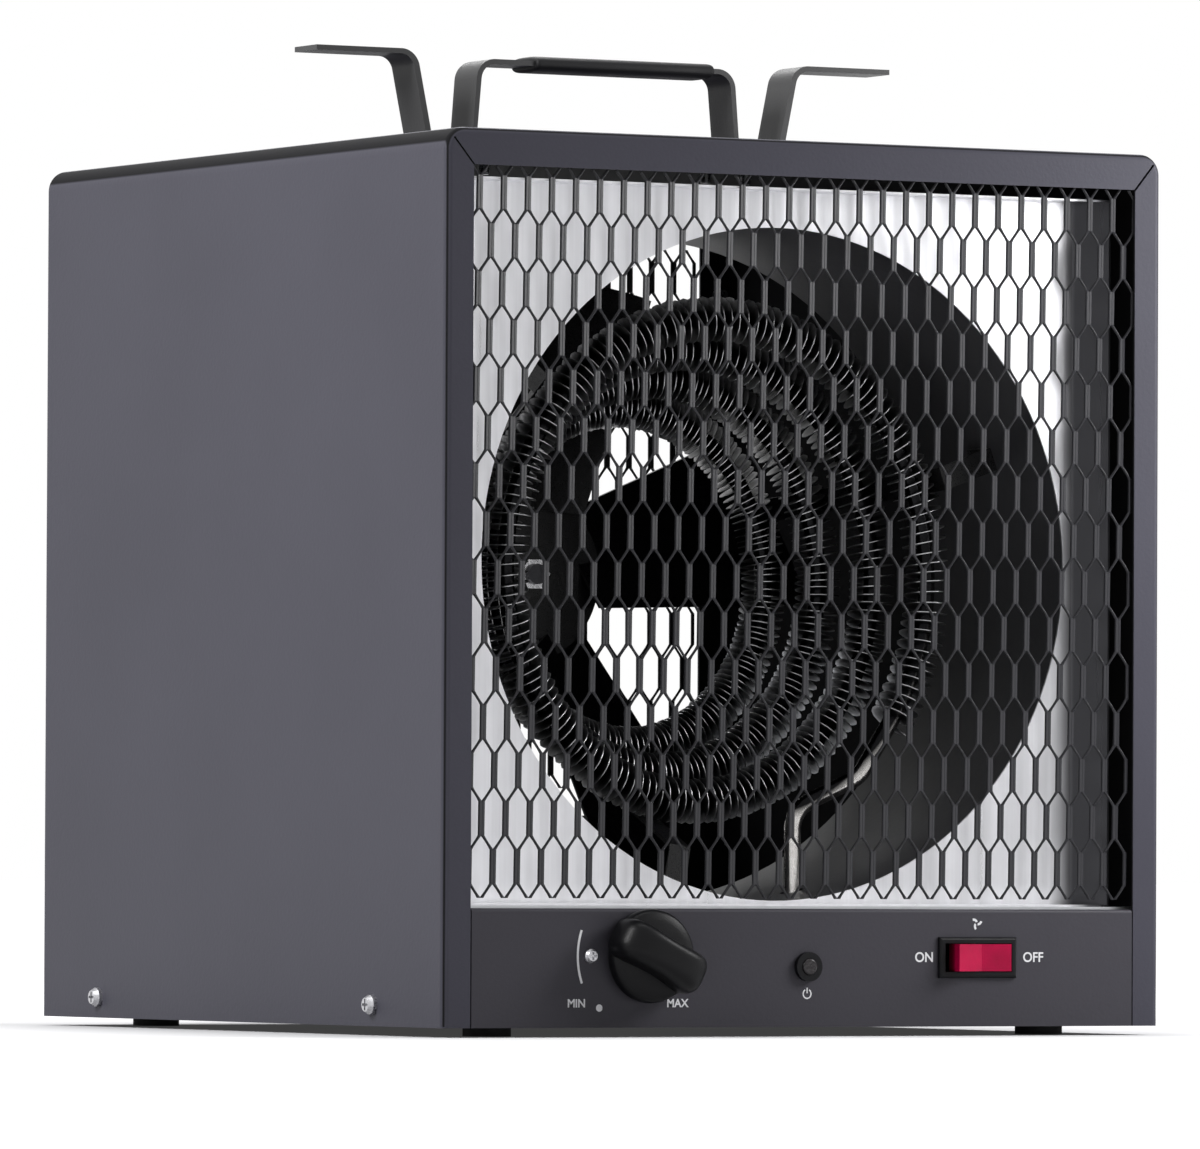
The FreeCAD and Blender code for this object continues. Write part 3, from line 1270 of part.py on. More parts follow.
make_wrapper()
make_base_pan()
make_feet()
make_control_panel()
legs = make_element()
make_chamber_floor(legs)
make_grilles()
make_rear_panel()
make_reflector()
make_duct(legs)
make_element_fittings(legs)
make_element_supports()
make_overheat_cutout()
make_thermostat()
make_switch()
make_lamp()
make_handle()
make_hooks()
make_side_screws()
make_fan()
make_motor()
make_supply()
doc.recompute()

for item in doc.Objects:
    assert not {"Invalid", "Error"} & set(item.State), (item.Name, item.State)
for name, item in parts:
    assert not item.Shape.isNull() and item.Shape.isValid(), name

os.makedirs("parts", exist_ok=True)
for name, item in parts:
    item.Shape.exportStep(f"parts/{name}.step")
    print(name, len(item.Shape.Solids), round(item.Shape.Volume, 1))
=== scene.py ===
"""Looks of a portable garage heater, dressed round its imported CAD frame.

Metres, +Z up, front at -Y. The CAD nodes keep their shape and get finishes; the grilles, the wound fin, the knob
and the handle's sleeve are replaced by finer surfaces, and the control panel gets its printed marks.
"""
import json
import math

import bmesh
import bpy
import numpy as np
from mathutils import Matrix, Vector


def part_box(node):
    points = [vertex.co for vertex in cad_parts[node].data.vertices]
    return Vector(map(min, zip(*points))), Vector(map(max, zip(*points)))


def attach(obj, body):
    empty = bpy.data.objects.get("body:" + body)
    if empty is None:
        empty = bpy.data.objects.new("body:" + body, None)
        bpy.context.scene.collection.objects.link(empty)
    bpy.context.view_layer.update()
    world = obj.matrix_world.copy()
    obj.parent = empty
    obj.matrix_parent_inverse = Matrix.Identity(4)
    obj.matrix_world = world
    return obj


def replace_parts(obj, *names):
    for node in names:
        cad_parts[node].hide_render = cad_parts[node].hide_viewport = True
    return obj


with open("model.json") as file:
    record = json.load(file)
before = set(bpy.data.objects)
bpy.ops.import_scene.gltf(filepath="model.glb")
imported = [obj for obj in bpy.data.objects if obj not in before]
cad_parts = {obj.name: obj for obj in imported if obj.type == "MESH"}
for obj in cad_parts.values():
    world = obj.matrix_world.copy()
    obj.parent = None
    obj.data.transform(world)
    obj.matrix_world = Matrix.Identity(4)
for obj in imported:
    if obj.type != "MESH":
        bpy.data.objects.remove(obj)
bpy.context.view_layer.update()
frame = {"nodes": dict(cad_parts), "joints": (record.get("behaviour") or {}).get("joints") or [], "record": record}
MM = 0.001
CABINET_LOW, CABINET_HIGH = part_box("cabinet_wrapper")
PANEL_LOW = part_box("control_panel")[0]
REAR_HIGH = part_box("rear_panel")[1]
BASE_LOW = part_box("base_pan")[0]
JOINTS = {joint["name"]: joint for joint in frame["joints"]}
FAN_AXIS_Z = JOINTS["fan_spin"]["pos_m"][2]
SPIRAL_TALL = 1.06


# Shader node helpers

def node(tree, kind, inputs=None, **properties):
    """A shader node whose inputs are linked where a socket is given and set where a value is given."""
    made = tree.nodes.new(kind)
    for name, value in properties.items():
        setattr(made, name, value)
    for name, value in (inputs or {}).items():
        if isinstance(value, bpy.types.NodeSocket):
            tree.links.new(value, made.inputs[name])
        else:
            made.inputs[name].default_value = value
    return made


def effect_group(name, inputs):
    """An empty node group with the given inputs and the outputs that every finish uses."""
    tree = bpy.data.node_groups.new(name, "ShaderNodeTree")
    for label, kind in inputs.items():
        tree.interface.new_socket(label, in_out="INPUT", socket_type=kind)
    tree.interface.new_socket("Colour", in_out="OUTPUT", socket_type="NodeSocketColor")
    tree.interface.new_socket("Roughness", in_out="OUTPUT", socket_type="NodeSocketFloat")
    tree.interface.new_socket("Height", in_out="OUTPUT", socket_type="NodeSocketFloat")
    return tree, tree.nodes.new("NodeGroupInput").outputs


def noise(tree, vector, scale, detail=2.0, rough=0.5):
    """A noise value at a number of features per metre."""
    made = node(tree, "ShaderNodeTexNoise",
                {"Vector": vector, "Scale": scale, "Detail": detail, "Roughness": rough})
    return made.outputs["Fac"]


def spread(tree, value, low, high):
    """A noise value stretched from its usual span onto low to high."""
    made = node(tree, "ShaderNodeMapRange", {"Value": value, "From Min": 0.3, "From Max": 0.7,
                                             "To Min": low, "To Max": high})
    return made.outputs["Result"]


def sums(tree, operation, first, second):
    """One arithmetic node."""
    return node(tree, "ShaderNodeMath", {0: first, 1: second}, operation=operation).outputs["Value"]


def toned(tree, colour, tone):
    """A colour made lighter or darker by a factor."""
    made = node(tree, "ShaderNodeHueSaturation", {"Color": colour, "Value": tone})
    return made.outputs["Color"]


def put_out(tree, colour, roughness, height):
    """Links a group's results to its outputs."""
    node(tree, "NodeGroupOutput", {"Colour": colour, "Roughness": roughness, "Height": height})


# Surface effects that several finishes share

def powder_coat_effect():
    """Sprayed coat: broad mottling of the tone, fine flecks in the sheen and a fine orange-peel height."""
    tree, given = effect_group("powder_coat", {"Colour": "NodeSocketColor", "Roughness": "NodeSocketFloat",
                                               "Mottle": "NodeSocketFloat", "Peel": "NodeSocketFloat"})
    place = node(tree, "ShaderNodeTexCoord").outputs["Object"]
    cloud = spread(tree, noise(tree, place, 11.0, 5.0), -1.0, 1.0)
    fleck = spread(tree, noise(tree, place, 2400.0), -1.0, 1.0)
    shade = sums(tree, "MULTIPLY", sums(tree, "ADD", cloud, sums(tree, "MULTIPLY", fleck, 0.6)), given["Mottle"])
    sheen = sums(tree, "ADD", given["Roughness"], sums(tree, "MULTIPLY", fleck, 0.05))
    put_out(tree, toned(tree, given["Colour"], sums(tree, "ADD", shade, 1.0)), sheen,
            noise(tree, place, given["Peel"], 1.0))
    return tree


def drawn_metal_effect():
    """Rolled or drawn metal: noise stretched along one axis gives fine lines in tone, sheen and height."""
    tree, given = effect_group("drawn_metal", {"Colour": "NodeSocketColor", "Roughness": "NodeSocketFloat",
                                               "Lines": "NodeSocketVector", "Contrast": "NodeSocketFloat"})
    place = node(tree, "ShaderNodeTexCoord").outputs["Object"]
    drawn = node(tree, "ShaderNodeMapping", {"Vector": place, "Scale": given["Lines"]}).outputs["Vector"]
    line = spread(tree, noise(tree, drawn, 1.0, 4.0, 0.6), -1.0, 1.0)
    cloud = spread(tree, noise(tree, place, 24.0, 3.0), -0.6, 0.6)
    shade = sums(tree, "MULTIPLY", sums(tree, "ADD", line, cloud), given["Contrast"])
    sheen = sums(tree, "ADD", given["Roughness"], sums(tree, "MULTIPLY", line, 0.06))
    put_out(tree, toned(tree, given["Colour"], sums(tree, "ADD", shade, 1.0)), sheen, line)
    return tree


def moulded_effect():
    """Moulded plastic or rubber: a fine spark-eroded grain and a slow change of tone."""
    tree, given = effect_group("moulded", {"Colour": "NodeSocketColor", "Roughness": "NodeSocketFloat",
                                           "Grain": "NodeSocketFloat", "Mottle": "NodeSocketFloat"})
    place = node(tree, "ShaderNodeTexCoord").outputs["Object"]
    pits = node(tree, "ShaderNodeTexVoronoi", {"Vector": place, "Scale": given["Grain"]}).outputs["Distance"]
    cloud = spread(tree, noise(tree, place, 60.0, 4.0), -1.0, 1.0)
    shade = sums(tree, "MULTIPLY", cloud, given["Mottle"])
    sheen = sums(tree, "ADD", given["Roughness"], sums(tree, "MULTIPLY", cloud, 0.05))
    put_out(tree, toned(tree, given["Colour"], sums(tree, "ADD", shade, 1.0)), sheen, pits)
    return tree


def spangle_effect():
    """Zinc coat: crystal cells of slightly different tone and sheen."""
    tree, given = effect_group("spangle", {"Colour": "NodeSocketColor", "Roughness": "NodeSocketFloat",
                                           "Cells": "NodeSocketFloat", "Contrast": "NodeSocketFloat"})
    place = node(tree, "ShaderNodeTexCoord").outputs["Object"]
    cells = node(tree, "ShaderNodeTexVoronoi", {"Vector": place, "Scale": given["Cells"]})
    tone = node(tree, "ShaderNodeSeparateColor", {"Color": cells.outputs["Color"]}).outputs["Red"]
    swing = sums(tree, "SUBTRACT", tone, 0.5)
    shade = sums(tree, "MULTIPLY", swing, given["Contrast"])
    sheen = sums(tree, "ADD", given["Roughness"], sums(tree, "MULTIPLY", swing, 0.2))
    put_out(tree, toned(tree, given["Colour"], sums(tree, "ADD", shade, 1.0)), sheen, tone)
    return tree


POWDER_COAT = powder_coat_effect()
DRAWN_METAL = drawn_metal_effect()
MOULDED = moulded_effect()
SPANGLE = spangle_effect()


def finish(name, effect, values, relief, **constants):
    """A material: one effect drives colour, roughness and a bump of the given depth, the rest is constant."""
    made = bpy.data.materials.new(name)
    made.use_nodes = True
    tree = made.node_tree
    shader = tree.nodes["Principled BSDF"]
    surface = node(tree, "ShaderNodeGroup", node_tree=effect)
    for label, value in values.items():
        surface.inputs[label].default_value = value
    for label, value in constants.items():
        shader.inputs[label.replace("_", " ")].default_value = value
    bump = node(tree, "ShaderNodeBump", {"Height": surface.outputs["Height"], "Distance": relief})
    tree.links.new(surface.outputs["Colour"], shader.inputs["Base Color"])
    tree.links.new(surface.outputs["Roughness"], shader.inputs["Roughness"])
    tree.links.new(bump.outputs["Normal"], shader.inputs["Normal"])
    return made


PEEL_RELIEF = 0.05 * MM
DRAWN_RELIEF = 0.02 * MM
ROLLED_RELIEF = 0.004 * MM
GRAIN_RELIEF = 0.03 * MM
SPANGLE_RELIEF = 0.01 * MM


def painted(name, colour, roughness, mottle=0.05, peel=700.0, **constants):
    """Painted or powder-coated sheet."""
    return finish(name, POWDER_COAT, {"Colour": (*colour, 1.0), "Roughness": roughness, "Mottle": mottle,
                                      "Peel": peel}, PEEL_RELIEF, **constants)


def drawn(name, colour, roughness, lines, contrast=0.08, relief=DRAWN_RELIEF, **constants):
    """Bare metal with lines along the axis that the small entry of lines names."""
    return finish(name, DRAWN_METAL, {"Colour": (*colour, 1.0), "Roughness": roughness, "Lines": lines,
                                      "Contrast": contrast}, relief, Metallic=1.0, **constants)


def moulded(name, colour, roughness, grain=1800.0, mottle=0.06, **constants):
    """Moulded plastic, rubber or ceramic."""
    return finish(name, MOULDED, {"Colour": (*colour, 1.0), "Roughness": roughness, "Grain": grain,
                                  "Mottle": mottle}, GRAIN_RELIEF, **constants)


def spangled(name, colour, roughness, cells, contrast=0.12):
    """Galvanised or plated steel."""
    return finish(name, SPANGLE, {"Colour": (*colour, 1.0), "Roughness": roughness, "Cells": cells,
                                  "Contrast": contrast}, SPANGLE_RELIEF, Metallic=1.0)


# Lines of drawn metal, in features per metre along each axis
ALONG_X = (20.0, 900.0, 900.0)
ALONG_Y = (900.0, 20.0, 900.0)
ALONG_Z = (150.0, 150.0, 3.0)
EVERY_WAY = (300.0, 300.0, 300.0)

# The dark sheet's own colour, also used as painted shade on the cabinet's inner faces
DARK_SHEET_AND_INNER_SHADE = (0.008, 0.008, 0.009)
# Painted shade on the wound coil's tube and fin
PAINTED_COIL_SHADE = (0.012, 0.012, 0.013)
# Painted shade on the reflector's flared sides
PAINTED_FLARE_SHADE = (0.085, 0.085, 0.092)
# Depths that mark the cabinet's inner faces, which get painted shade, and the roughness there
SKIN_OUTER = 0.3 * MM
SKIN_INNER = 0.6 * MM
INNER_SHADE_ROUGHNESS = 0.9
# Where the reflector's flared sides get painted shade
FLARE_SHIFT = 7.0 * MM
FLARE_START = 128.0 * MM
FLARE_END = 138.0 * MM
# Where painted shade falls on the tube under the wound fin
BARE_RADIUS = 94.5 * MM
COIL_SHADE_RADIUS = 91.5 * MM
COIL_SHADE_DEPTH = -6.0 * MM
# How fast the fin's painted shade gives way to its lighter rim
RIM_SHARPNESS = 3.0


def ramp(tree, value, start, end):
    """A mask that is 0 up to start and 1 from end on."""
    return node(tree, "ShaderNodeMapRange", {"Value": value, "From Min": start, "From Max": end}).outputs["Result"]


def axes_of(tree):
    """The three object coordinates, in metres."""
    place = node(tree, "ShaderNodeTexCoord").outputs["Object"]
    return node(tree, "ShaderNodeSeparateXYZ", {"Vector": place}).outputs


def tinted(made, mask, tint, roughness=None):
    """Takes a finish's colour to a tint, and its roughness to a value if one is given, where a mask is 1."""
    tree = made.node_tree
    shader = tree.nodes["Principled BSDF"]
    colour = shader.inputs["Base Color"].links[0].from_socket
    mixed = node(tree, "ShaderNodeMix", {0: mask, 6: colour, 7: (*tint, 1.0)}, data_type="RGBA")
    tree.links.new(mixed.outputs[2], shader.inputs["Base Color"])
    if roughness is not None:
        sheen = shader.inputs["Roughness"].links[0].from_socket
        blend = node(tree, "ShaderNodeMix", {0: mask, 2: sheen, 3: roughness}, data_type="FLOAT")
        tree.links.new(blend.outputs[0], shader.inputs["Roughness"])
    return made


def cabinet_finish():
    """Cabinet sheet: satin grey paint outside and painted shade, dark and matt, on the inner faces within the outer
    ones.
    """
    made = painted("cabinet_paint", (0.054, 0.053, 0.068), 0.42, Specular_IOR_Level=0.12)
    tree = made.node_tree
    axes = axes_of(tree)
    # Mask of the inner faces, which get painted shade
    inner_shade = 1.0
    for value, face, inward in ((sums(tree, "ABSOLUTE", axes["X"], 0.0), CABINET_HIGH.x, -1),
                                (axes["Z"], CABINET_HIGH.z, -1), (axes["Y"], CABINET_LOW.y, 1),
                                (axes["Y"], REAR_HIGH.y, -1), (axes["Z"], BASE_LOW.z, 1)):
        within = ramp(tree, value, face + inward * SKIN_OUTER, face + inward * SKIN_INNER)
        inner_shade = sums(tree, "MULTIPLY", inner_shade, within)
    return tinted(made, inner_shade, DARK_SHEET_AND_INNER_SHADE, INNER_SHADE_ROUGHNESS)


def reflector_finish():
    """Bright rolled sheet with soft upright streaks, and painted shade that darkens its flared sides."""
    made = drawn("bright_sheet", (0.80, 0.80, 0.83), 0.32, ALONG_Z, 0.10, ROLLED_RELIEF)
    tree = made.node_tree
    shifted = sums(tree, "ADD", axes_of(tree)["X"], FLARE_SHIFT)
    # Painted shade on the flared sides
    flare_shade_mask = ramp(tree, sums(tree, "ABSOLUTE", shifted, 0.0), FLARE_START, FLARE_END)
    return tinted(made, flare_shade_mask, PAINTED_FLARE_SHADE)


def sheath_finish():
    """Element tube: bare steel on the legs, darkened by painted shade where the fin is wound on the spiral."""
    made = drawn("element_sheath", (0.72, 0.70, 0.68), 0.22, EVERY_WAY)
    tree = made.node_tree
    axes = axes_of(tree)
    up = sums(tree, "DIVIDE", sums(tree, "SUBTRACT", axes["Z"], FAN_AXIS_Z), SPIRAL_TALL)
    radius = sums(tree, "SQRT", sums(tree, "ADD", sums(tree, "MULTIPLY", axes["X"], axes["X"]),
                                     sums(tree, "MULTIPLY", up, up)), 0.0)
    # Painted shade on the tube where the fin is wound
    within = ramp(tree, radius, BARE_RADIUS, COIL_SHADE_RADIUS)
    before = ramp(tree, axes["Y"], 0.0, COIL_SHADE_DEPTH)
    return tinted(made, sums(tree, "MULTIPLY", within, before), PAINTED_COIL_SHADE)


def fin_finish():
    """Wound strip: steel darkened by painted shade towards the tube, between the turns, and kept lighter at its rim as
    a painted highlight.
    """
    made = drawn("fin_steel", (0.44, 0.44, 0.45), 0.34, EVERY_WAY, 0.45)
    tree = made.node_tree
    rim = node(tree, "ShaderNodeAttribute", attribute_name="rim").outputs["Fac"]
    # Painted shade towards the tube, painted highlight at the rim
    root_shade = sums(tree, "SUBTRACT", 1.0, sums(tree, "POWER", rim, RIM_SHARPNESS))
    return tinted(made, root_shade, PAINTED_COIL_SHADE)


FINISHES = {
    "cabinet_paint": cabinet_finish(),
    "panel_paint": painted("panel_paint", (0.050, 0.048, 0.057), 0.40, Specular_IOR_Level=0.12),
    "mesh_paint": painted("mesh_paint", (0.020, 0.020, 0.023), 0.38, peel=1500.0, Specular_IOR_Level=0.22),
    "bright_sheet": reflector_finish(),
    "dark_sheet": painted("dark_sheet", DARK_SHEET_AND_INNER_SHADE, 0.30, 0.15, 300.0, Specular_IOR_Level=0.4),
    "galvanised": spangled("galvanised", (0.55, 0.56, 0.58), 0.38, 160.0),
    "element_sheath": sheath_finish(),
    "fin_steel": fin_finish(),
    "zinc": spangled("zinc", (0.50, 0.50, 0.52), 0.34, 1500.0, 0.20),
    "strap_paint": painted("strap_paint", (0.052, 0.052, 0.053), 0.45, peel=1200.0, Specular_IOR_Level=0.18),
    "soft_grip": moulded("soft_grip", (0.010, 0.010, 0.011), 0.55, 1400.0, Specular_IOR_Level=0.18),
    "foot_rubber": moulded("foot_rubber", (0.016, 0.016, 0.017), 0.7, 1200.0),
    "knob_plastic": moulded("knob_plastic", (0.0035, 0.0035, 0.0042), 0.36, 2200.0, Specular_IOR_Level=0.14),
    "switch_plastic": moulded("switch_plastic", (0.004, 0.004, 0.005), 0.34, 2500.0, Specular_IOR_Level=0.14),
    "rocker_red": moulded("rocker_red", (0.36, 0.002, 0.042), 0.22, 900.0, 0.25, Specular_IOR_Level=0.12),
    "lens": moulded("lens", (0.008, 0.005, 0.007), 0.08, 900.0, Specular_IOR_Level=0.4),
    "ceramic": moulded("ceramic", (0.78, 0.76, 0.70), 0.35, 700.0),
    "phenolic": moulded("phenolic", (0.045, 0.028, 0.020), 0.45, 900.0, 0.15),
    "brass": drawn("brass", (0.72, 0.52, 0.22), 0.30, ALONG_Y),
    "motor_steel": painted("motor_steel", (0.025, 0.025, 0.027), 0.35),
    "laminations": drawn("laminations", (0.24, 0.24, 0.25), 0.5, ALONG_X, 0.3),
    "gland_nylon": moulded("gland_nylon", (0.014, 0.014, 0.015), 0.42, 1500.0),
}


def wear(obj, material):
    """Gives an object one material."""
    obj.data.materials.clear()
    obj.data.materials.append(material)


for part in frame["record"]["subparts"]:
    wear(frame["nodes"][part["node"]], FINISHES[part["material_slot"]])

# Nodes that look a little different from the others in their slot
NODE_FINISHES = {
    "element_support_1": FINISHES["dark_sheet"],
    "element_support_2": FINISHES["dark_sheet"],
    "element_support_3": FINISHES["dark_sheet"],
    "fan_nut": drawn("nut_steel", (0.66, 0.66, 0.68), 0.20, EVERY_WAY, 0.12),
    "motor_shaft": drawn("shaft_steel", (0.06, 0.06, 0.065), 0.35, ALONG_Y),
    "fan_duct": painted("duct_sheet", (0.050, 0.050, 0.055), 0.45, 0.15, 300.0, Specular_IOR_Level=0.25),
}
for name, material in NODE_FINISHES.items():
    wear(frame["nodes"][name], material)


# Mesh helpers

def unit(vectors):
    """Vectors scaled to length one."""
    return vectors / np.linalg.norm(vectors, axis=-1, keepdims=True)


def add_piece(name, points, faces, body, material, crease_deg=30.0):
    """A closed mesh from points and faces that rides on a CAD body, smooth but for edges over an angle."""
    mesh = bpy.data.meshes.new(name)
    mesh.from_pydata(np.reshape(points, (-1, 3)).tolist(), [], faces)
    work = bmesh.new()
    work.from_mesh(mesh)
    bmesh.ops.recalc_face_normals(work, faces=work.faces)
    work.to_mesh(mesh)
    work.free()
    mesh.polygons.foreach_set("use_smooth", np.ones(len(mesh.polygons), dtype=bool))
    mesh.set_sharp_from_angle(angle=math.radians(crease_deg))
    obj = bpy.data.objects.new(name, mesh)
    bpy.context.scene.collection.objects.link(obj)
    wear(obj, material)
    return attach(obj, body)


def bar_faces(bars, rings, corners):
    """Faces of bars made of rings of corners: quads between neighbouring rings and a cap over each end."""
    index = np.arange(bars * rings * corners).reshape(bars, rings, corners)
    following = np.roll(index, -1, axis=2)
    quads = np.stack([index[:, :-1], following[:, :-1], following[:, 1:], index[:, 1:]], axis=-1)
    caps = np.concatenate([index[:, 0, ::-1], index[:, -1]])
    return quads.reshape(-1, 4).tolist() + caps.tolist()


def section(width, thickness, chamfer):
    """Corners of a rectangle with chamfered corners, in order round it, as distances across and through a bar."""
    signs = np.array([(1, -1), (1, -1), (1, 1), (1, 1), (-1, 1), (-1, 1), (-1, -1), (-1, -1)])
    trims = np.array([(1, 0), (0, 1), (0, 1), (1, 0), (1, 0), (0, 1), (0, 1), (1, 0)])
    return signs * (np.array([width, thickness]) / 2 - trims * chamfer)


# Expanded metal grilles

MESH_PITCH = 10.17 * MM
MESH_ROW = 17.75 * MM
MESH_BOND = 12.4 * MM
STRAND_WIDTH = 1.65 * MM
STRAND_THICKNESS = 0.95 * MM
STRAND_CHAMFER = 0.22 * MM
STRAND_LAP = 0.95
BOND_TILT = math.radians(22.0)
DIAGONAL_TILT = math.radians(64.0)
FRONT_BOND_X = 2.4 * MM
FRONT_ROW_Z = CABINET_HIGH.z - 23.6 * MM
FRONT_LEAN = 0.0135


def expanded_metal(name, grille, bond_x, row_z, lean):
    """Sheared and drawn mesh in the box of a CAD grille.

    Strand j keeps to one half pitch of the width, counted from bond_x. In each row, counted from row_z, it runs
    straight up along one end of that span, as half of a bond, then slants to the other end. Its section turns from
    the bond's tilt to the slant's. All of it leans by a small slope, as a sheet that was drawn a little askew.
    """
    low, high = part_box(grille)
    middle_y = (low.y + high.y) / 2
    column = MESH_PITCH / 2
    margin = STRAND_WIDTH + lean * (high.z - low.z)
    strands = np.arange(math.ceil((low.x + margin - bond_x) / column), math.floor((high.x - margin - bond_x) / column))
    rows = np.arange(math.floor((low.z - row_z) / MESH_ROW) - 1, math.ceil((high.z - row_z) / MESH_ROW) + 1)
    rise = MESH_ROW - MESH_BOND
    lifts = np.array([-MESH_BOND / 2, MESH_BOND / 2, MESH_BOND / 2 + rise / 3, MESH_BOND / 2 + 2 * rise / 3])
    blends = np.array([0.0, 0.0, 1 / 3, 2 / 3])
    tilts = np.array([BOND_TILT, BOND_TILT, DIAGONAL_TILT, DIAGONAL_TILT])

    at_low_end = (strands[:, None] + rows[None, :]) % 2 == 0
    half = STRAND_LAP * STRAND_WIDTH / 2
    side = np.where(at_low_end, half * math.cos(BOND_TILT), column - half * math.cos(BOND_TILT))[..., None]
    depth = np.where(at_low_end, 1.0, -1.0)[..., None] * half * math.sin(BOND_TILT)
    across = strands[:, None, None] * column + side + (column - 2 * side) * blends
    through = depth * (1 - 2 * blends)
    slant = unit(np.stack([column - 2 * side[..., 0], np.full(side.shape[:2], rise)], axis=-1))
    on_slant = (blends > 0)[None, None, :]
    normal_x = np.where(on_slant, slant[..., None, 1], 1.0)
    normal_z = np.where(on_slant, -slant[..., None, 0], 0.0)

    corners = section(STRAND_WIDTH, STRAND_THICKNESS, STRAND_CHAMFER)
    wide = corners[:, 0] * np.cos(tilts)[:, None] - corners[:, 1] * np.sin(tilts)[:, None]
    deep = corners[:, 0] * np.sin(tilts)[:, None] + corners[:, 1] * np.cos(tilts)[:, None]
    height = (rows[:, None] * MESH_ROW + lifts)[None, ..., None]
    x = bond_x + across[..., None] + normal_x[..., None] * wide + lean * height
    y = middle_y + through[..., None] + deep
    z = row_z + height + normal_z[..., None] * wide
    points = np.stack(np.broadcast_arrays(x, y, z), axis=-1)
    points = points.reshape(len(strands), -1, len(corners), 3)
    levels = (row_z + height).reshape(-1)
    points = points[:, (levels > low.z + STRAND_WIDTH) & (levels < high.z - STRAND_WIDTH)]
    obj = add_piece(name, points, bar_faces(*points.shape[:3]), "cabinet", FINISHES["mesh_paint"])
    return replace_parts(obj, grille)


expanded_metal("front_mesh", "front_grille", FRONT_BOND_X, FRONT_ROW_Z, FRONT_LEAN)
expanded_metal("rear_mesh", "rear_grille", 0.0, FAN_AXIS_Z, 0.0)


# Fin wound on the heating tube

TUBE_RADIUS = 3.25 * MM
FIN_RADIUS = 9.0 * MM
FIN_SHEET = 0.42 * MM
FIN_TRIM = 0.3 * MM
FIN_EDGE_SHARES = np.array([-0.5, -0.35, 0.35, 0.5])
FIN_WAVER = 0.25 * MM
FIN_WAVES = (0.37, 0.053)
FIN_LEAN = 0.35 * MM
FIN_LEAN_WAVE = 0.21
FIN_TURNS = 560
FIN_STEPS = 16
SPIRAL_RADIUS = 91.0 * MM
SPIRAL_SHRINK = 9.5 * MM
SPIRAL_FRONT = CABINET_LOW.y + 66.0 * MM
SPIRAL_PITCH = 25.0 * MM
SPIRAL_START = math.radians(-37.0)
SPIRAL_END = math.radians(1260.0)


def spiral(angle):
    """Middle line of the tube, taller than wide: its reach falls and its depth grows by a length each turn."""
    turns = angle / (2 * math.pi)
    radius = SPIRAL_RADIUS - SPIRAL_SHRINK * turns
    return np.stack([radius * np.cos(angle), SPIRAL_FRONT + SPIRAL_PITCH * turns,
                     FAN_AXIS_Z + SPIRAL_TALL * radius * np.sin(angle)], axis=-1)


def wound_fin():
    """Thin strip on edge, wound round the tube: a helix about the spiral whose section stands out radially.

    The outer edge wavers a little from turn to turn, as a crimped strip does. The attribute rim is 0 on the tube
    and 1 at the outer edge.
    """
    share = np.linspace(0.0, 1.0, FIN_TURNS * FIN_STEPS + 1)
    angle = SPIRAL_START + (SPIRAL_END - SPIRAL_START) * share
    step = 1e-4
    centre = spiral(angle)
    along = unit(spiral(angle + step) - spiral(angle - step))
    outward = centre - np.array([0.0, 0.0, FAN_AXIS_Z])
    outward[:, 1] = 0.0
    outward = unit(outward - along * np.sum(outward * along, axis=-1, keepdims=True))
    beside = np.cross(along, outward)
    turn = 2 * math.pi * FIN_TURNS * share
    spoke = outward * np.cos(turn)[:, None] + beside * np.sin(turn)[:, None]
    waver = FIN_WAVER * np.sin(FIN_WAVES[0] * turn) * np.sin(FIN_WAVES[1] * turn)
    lean = FIN_LEAN * np.sin(FIN_LEAN_WAVE * turn + 1.0)
    inner = np.full_like(turn, TUBE_RADIUS)
    outer = FIN_RADIUS - FIN_TRIM + waver
    reach = np.stack([inner, outer, outer, inner], axis=-1)
    thick = FIN_EDGE_SHARES * FIN_SHEET
    shift = thick + np.stack([0 * lean, lean, lean, 0 * lean], axis=-1)
    points = centre[:, None] + spoke[:, None] * reach[..., None] + along[:, None] * shift[..., None]
    obj = add_piece("wound_fin", points, bar_faces(1, len(share), 4), "cabinet", FINISHES["fin_steel"],
                    crease_deg=50.0)
    rim = obj.data.attributes.new("rim", "FLOAT", "POINT")
    rim.data.foreach_set("value", np.tile(np.array([0.0, 1.0, 1.0, 0.0], dtype=np.float32), len(share)))
    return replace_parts(obj, "element_fin")


wound_fin()


# Thermostat knob

KNOB_LOW, KNOB_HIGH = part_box("thermostat_knob")
KNOB_CENTRE_X, _, KNOB_CENTRE_Z = JOINTS["dial_turn"]["pos_m"]
KNOB_POINTER = math.radians(27.0)
KNOB_BACK = KNOB_HIGH.y
KNOB_REACH = KNOB_HIGH.y - KNOB_LOW.y
SKIRT_HEIGHT = 5.5 * MM
SKIRT_PROFILE = np.array([(6.0, 0.0), (16.9, 0.0), (17.4, 0.3), (17.5, 1.0), (17.2, 3.2), (16.7, 4.4), (15.8, 5.1),
                          (13.0, 5.7), (9.0, 6.4), (4.0, 6.8)]) * MM
BAR_LENGTH = 19.4 * MM
BAR_WIDTH = 9.2 * MM
BAR_ROOT = 0.6 * SKIRT_HEIGHT
BAR_TAPER_POWER = 0.45
BAR_END_POWER = 0.62
BAR_FLANK_POWER = 0.55
BAR_RISE_POWER = 0.6
BAR_WAIST = 0.80
BAR_WAIST_SPREAD = 1.6
BAR_CROWN = 0.10


def rounded_power(value, power):
    """A signed power, which squares off a circle's sine or cosine."""
    return np.sign(value) * np.abs(value) ** power


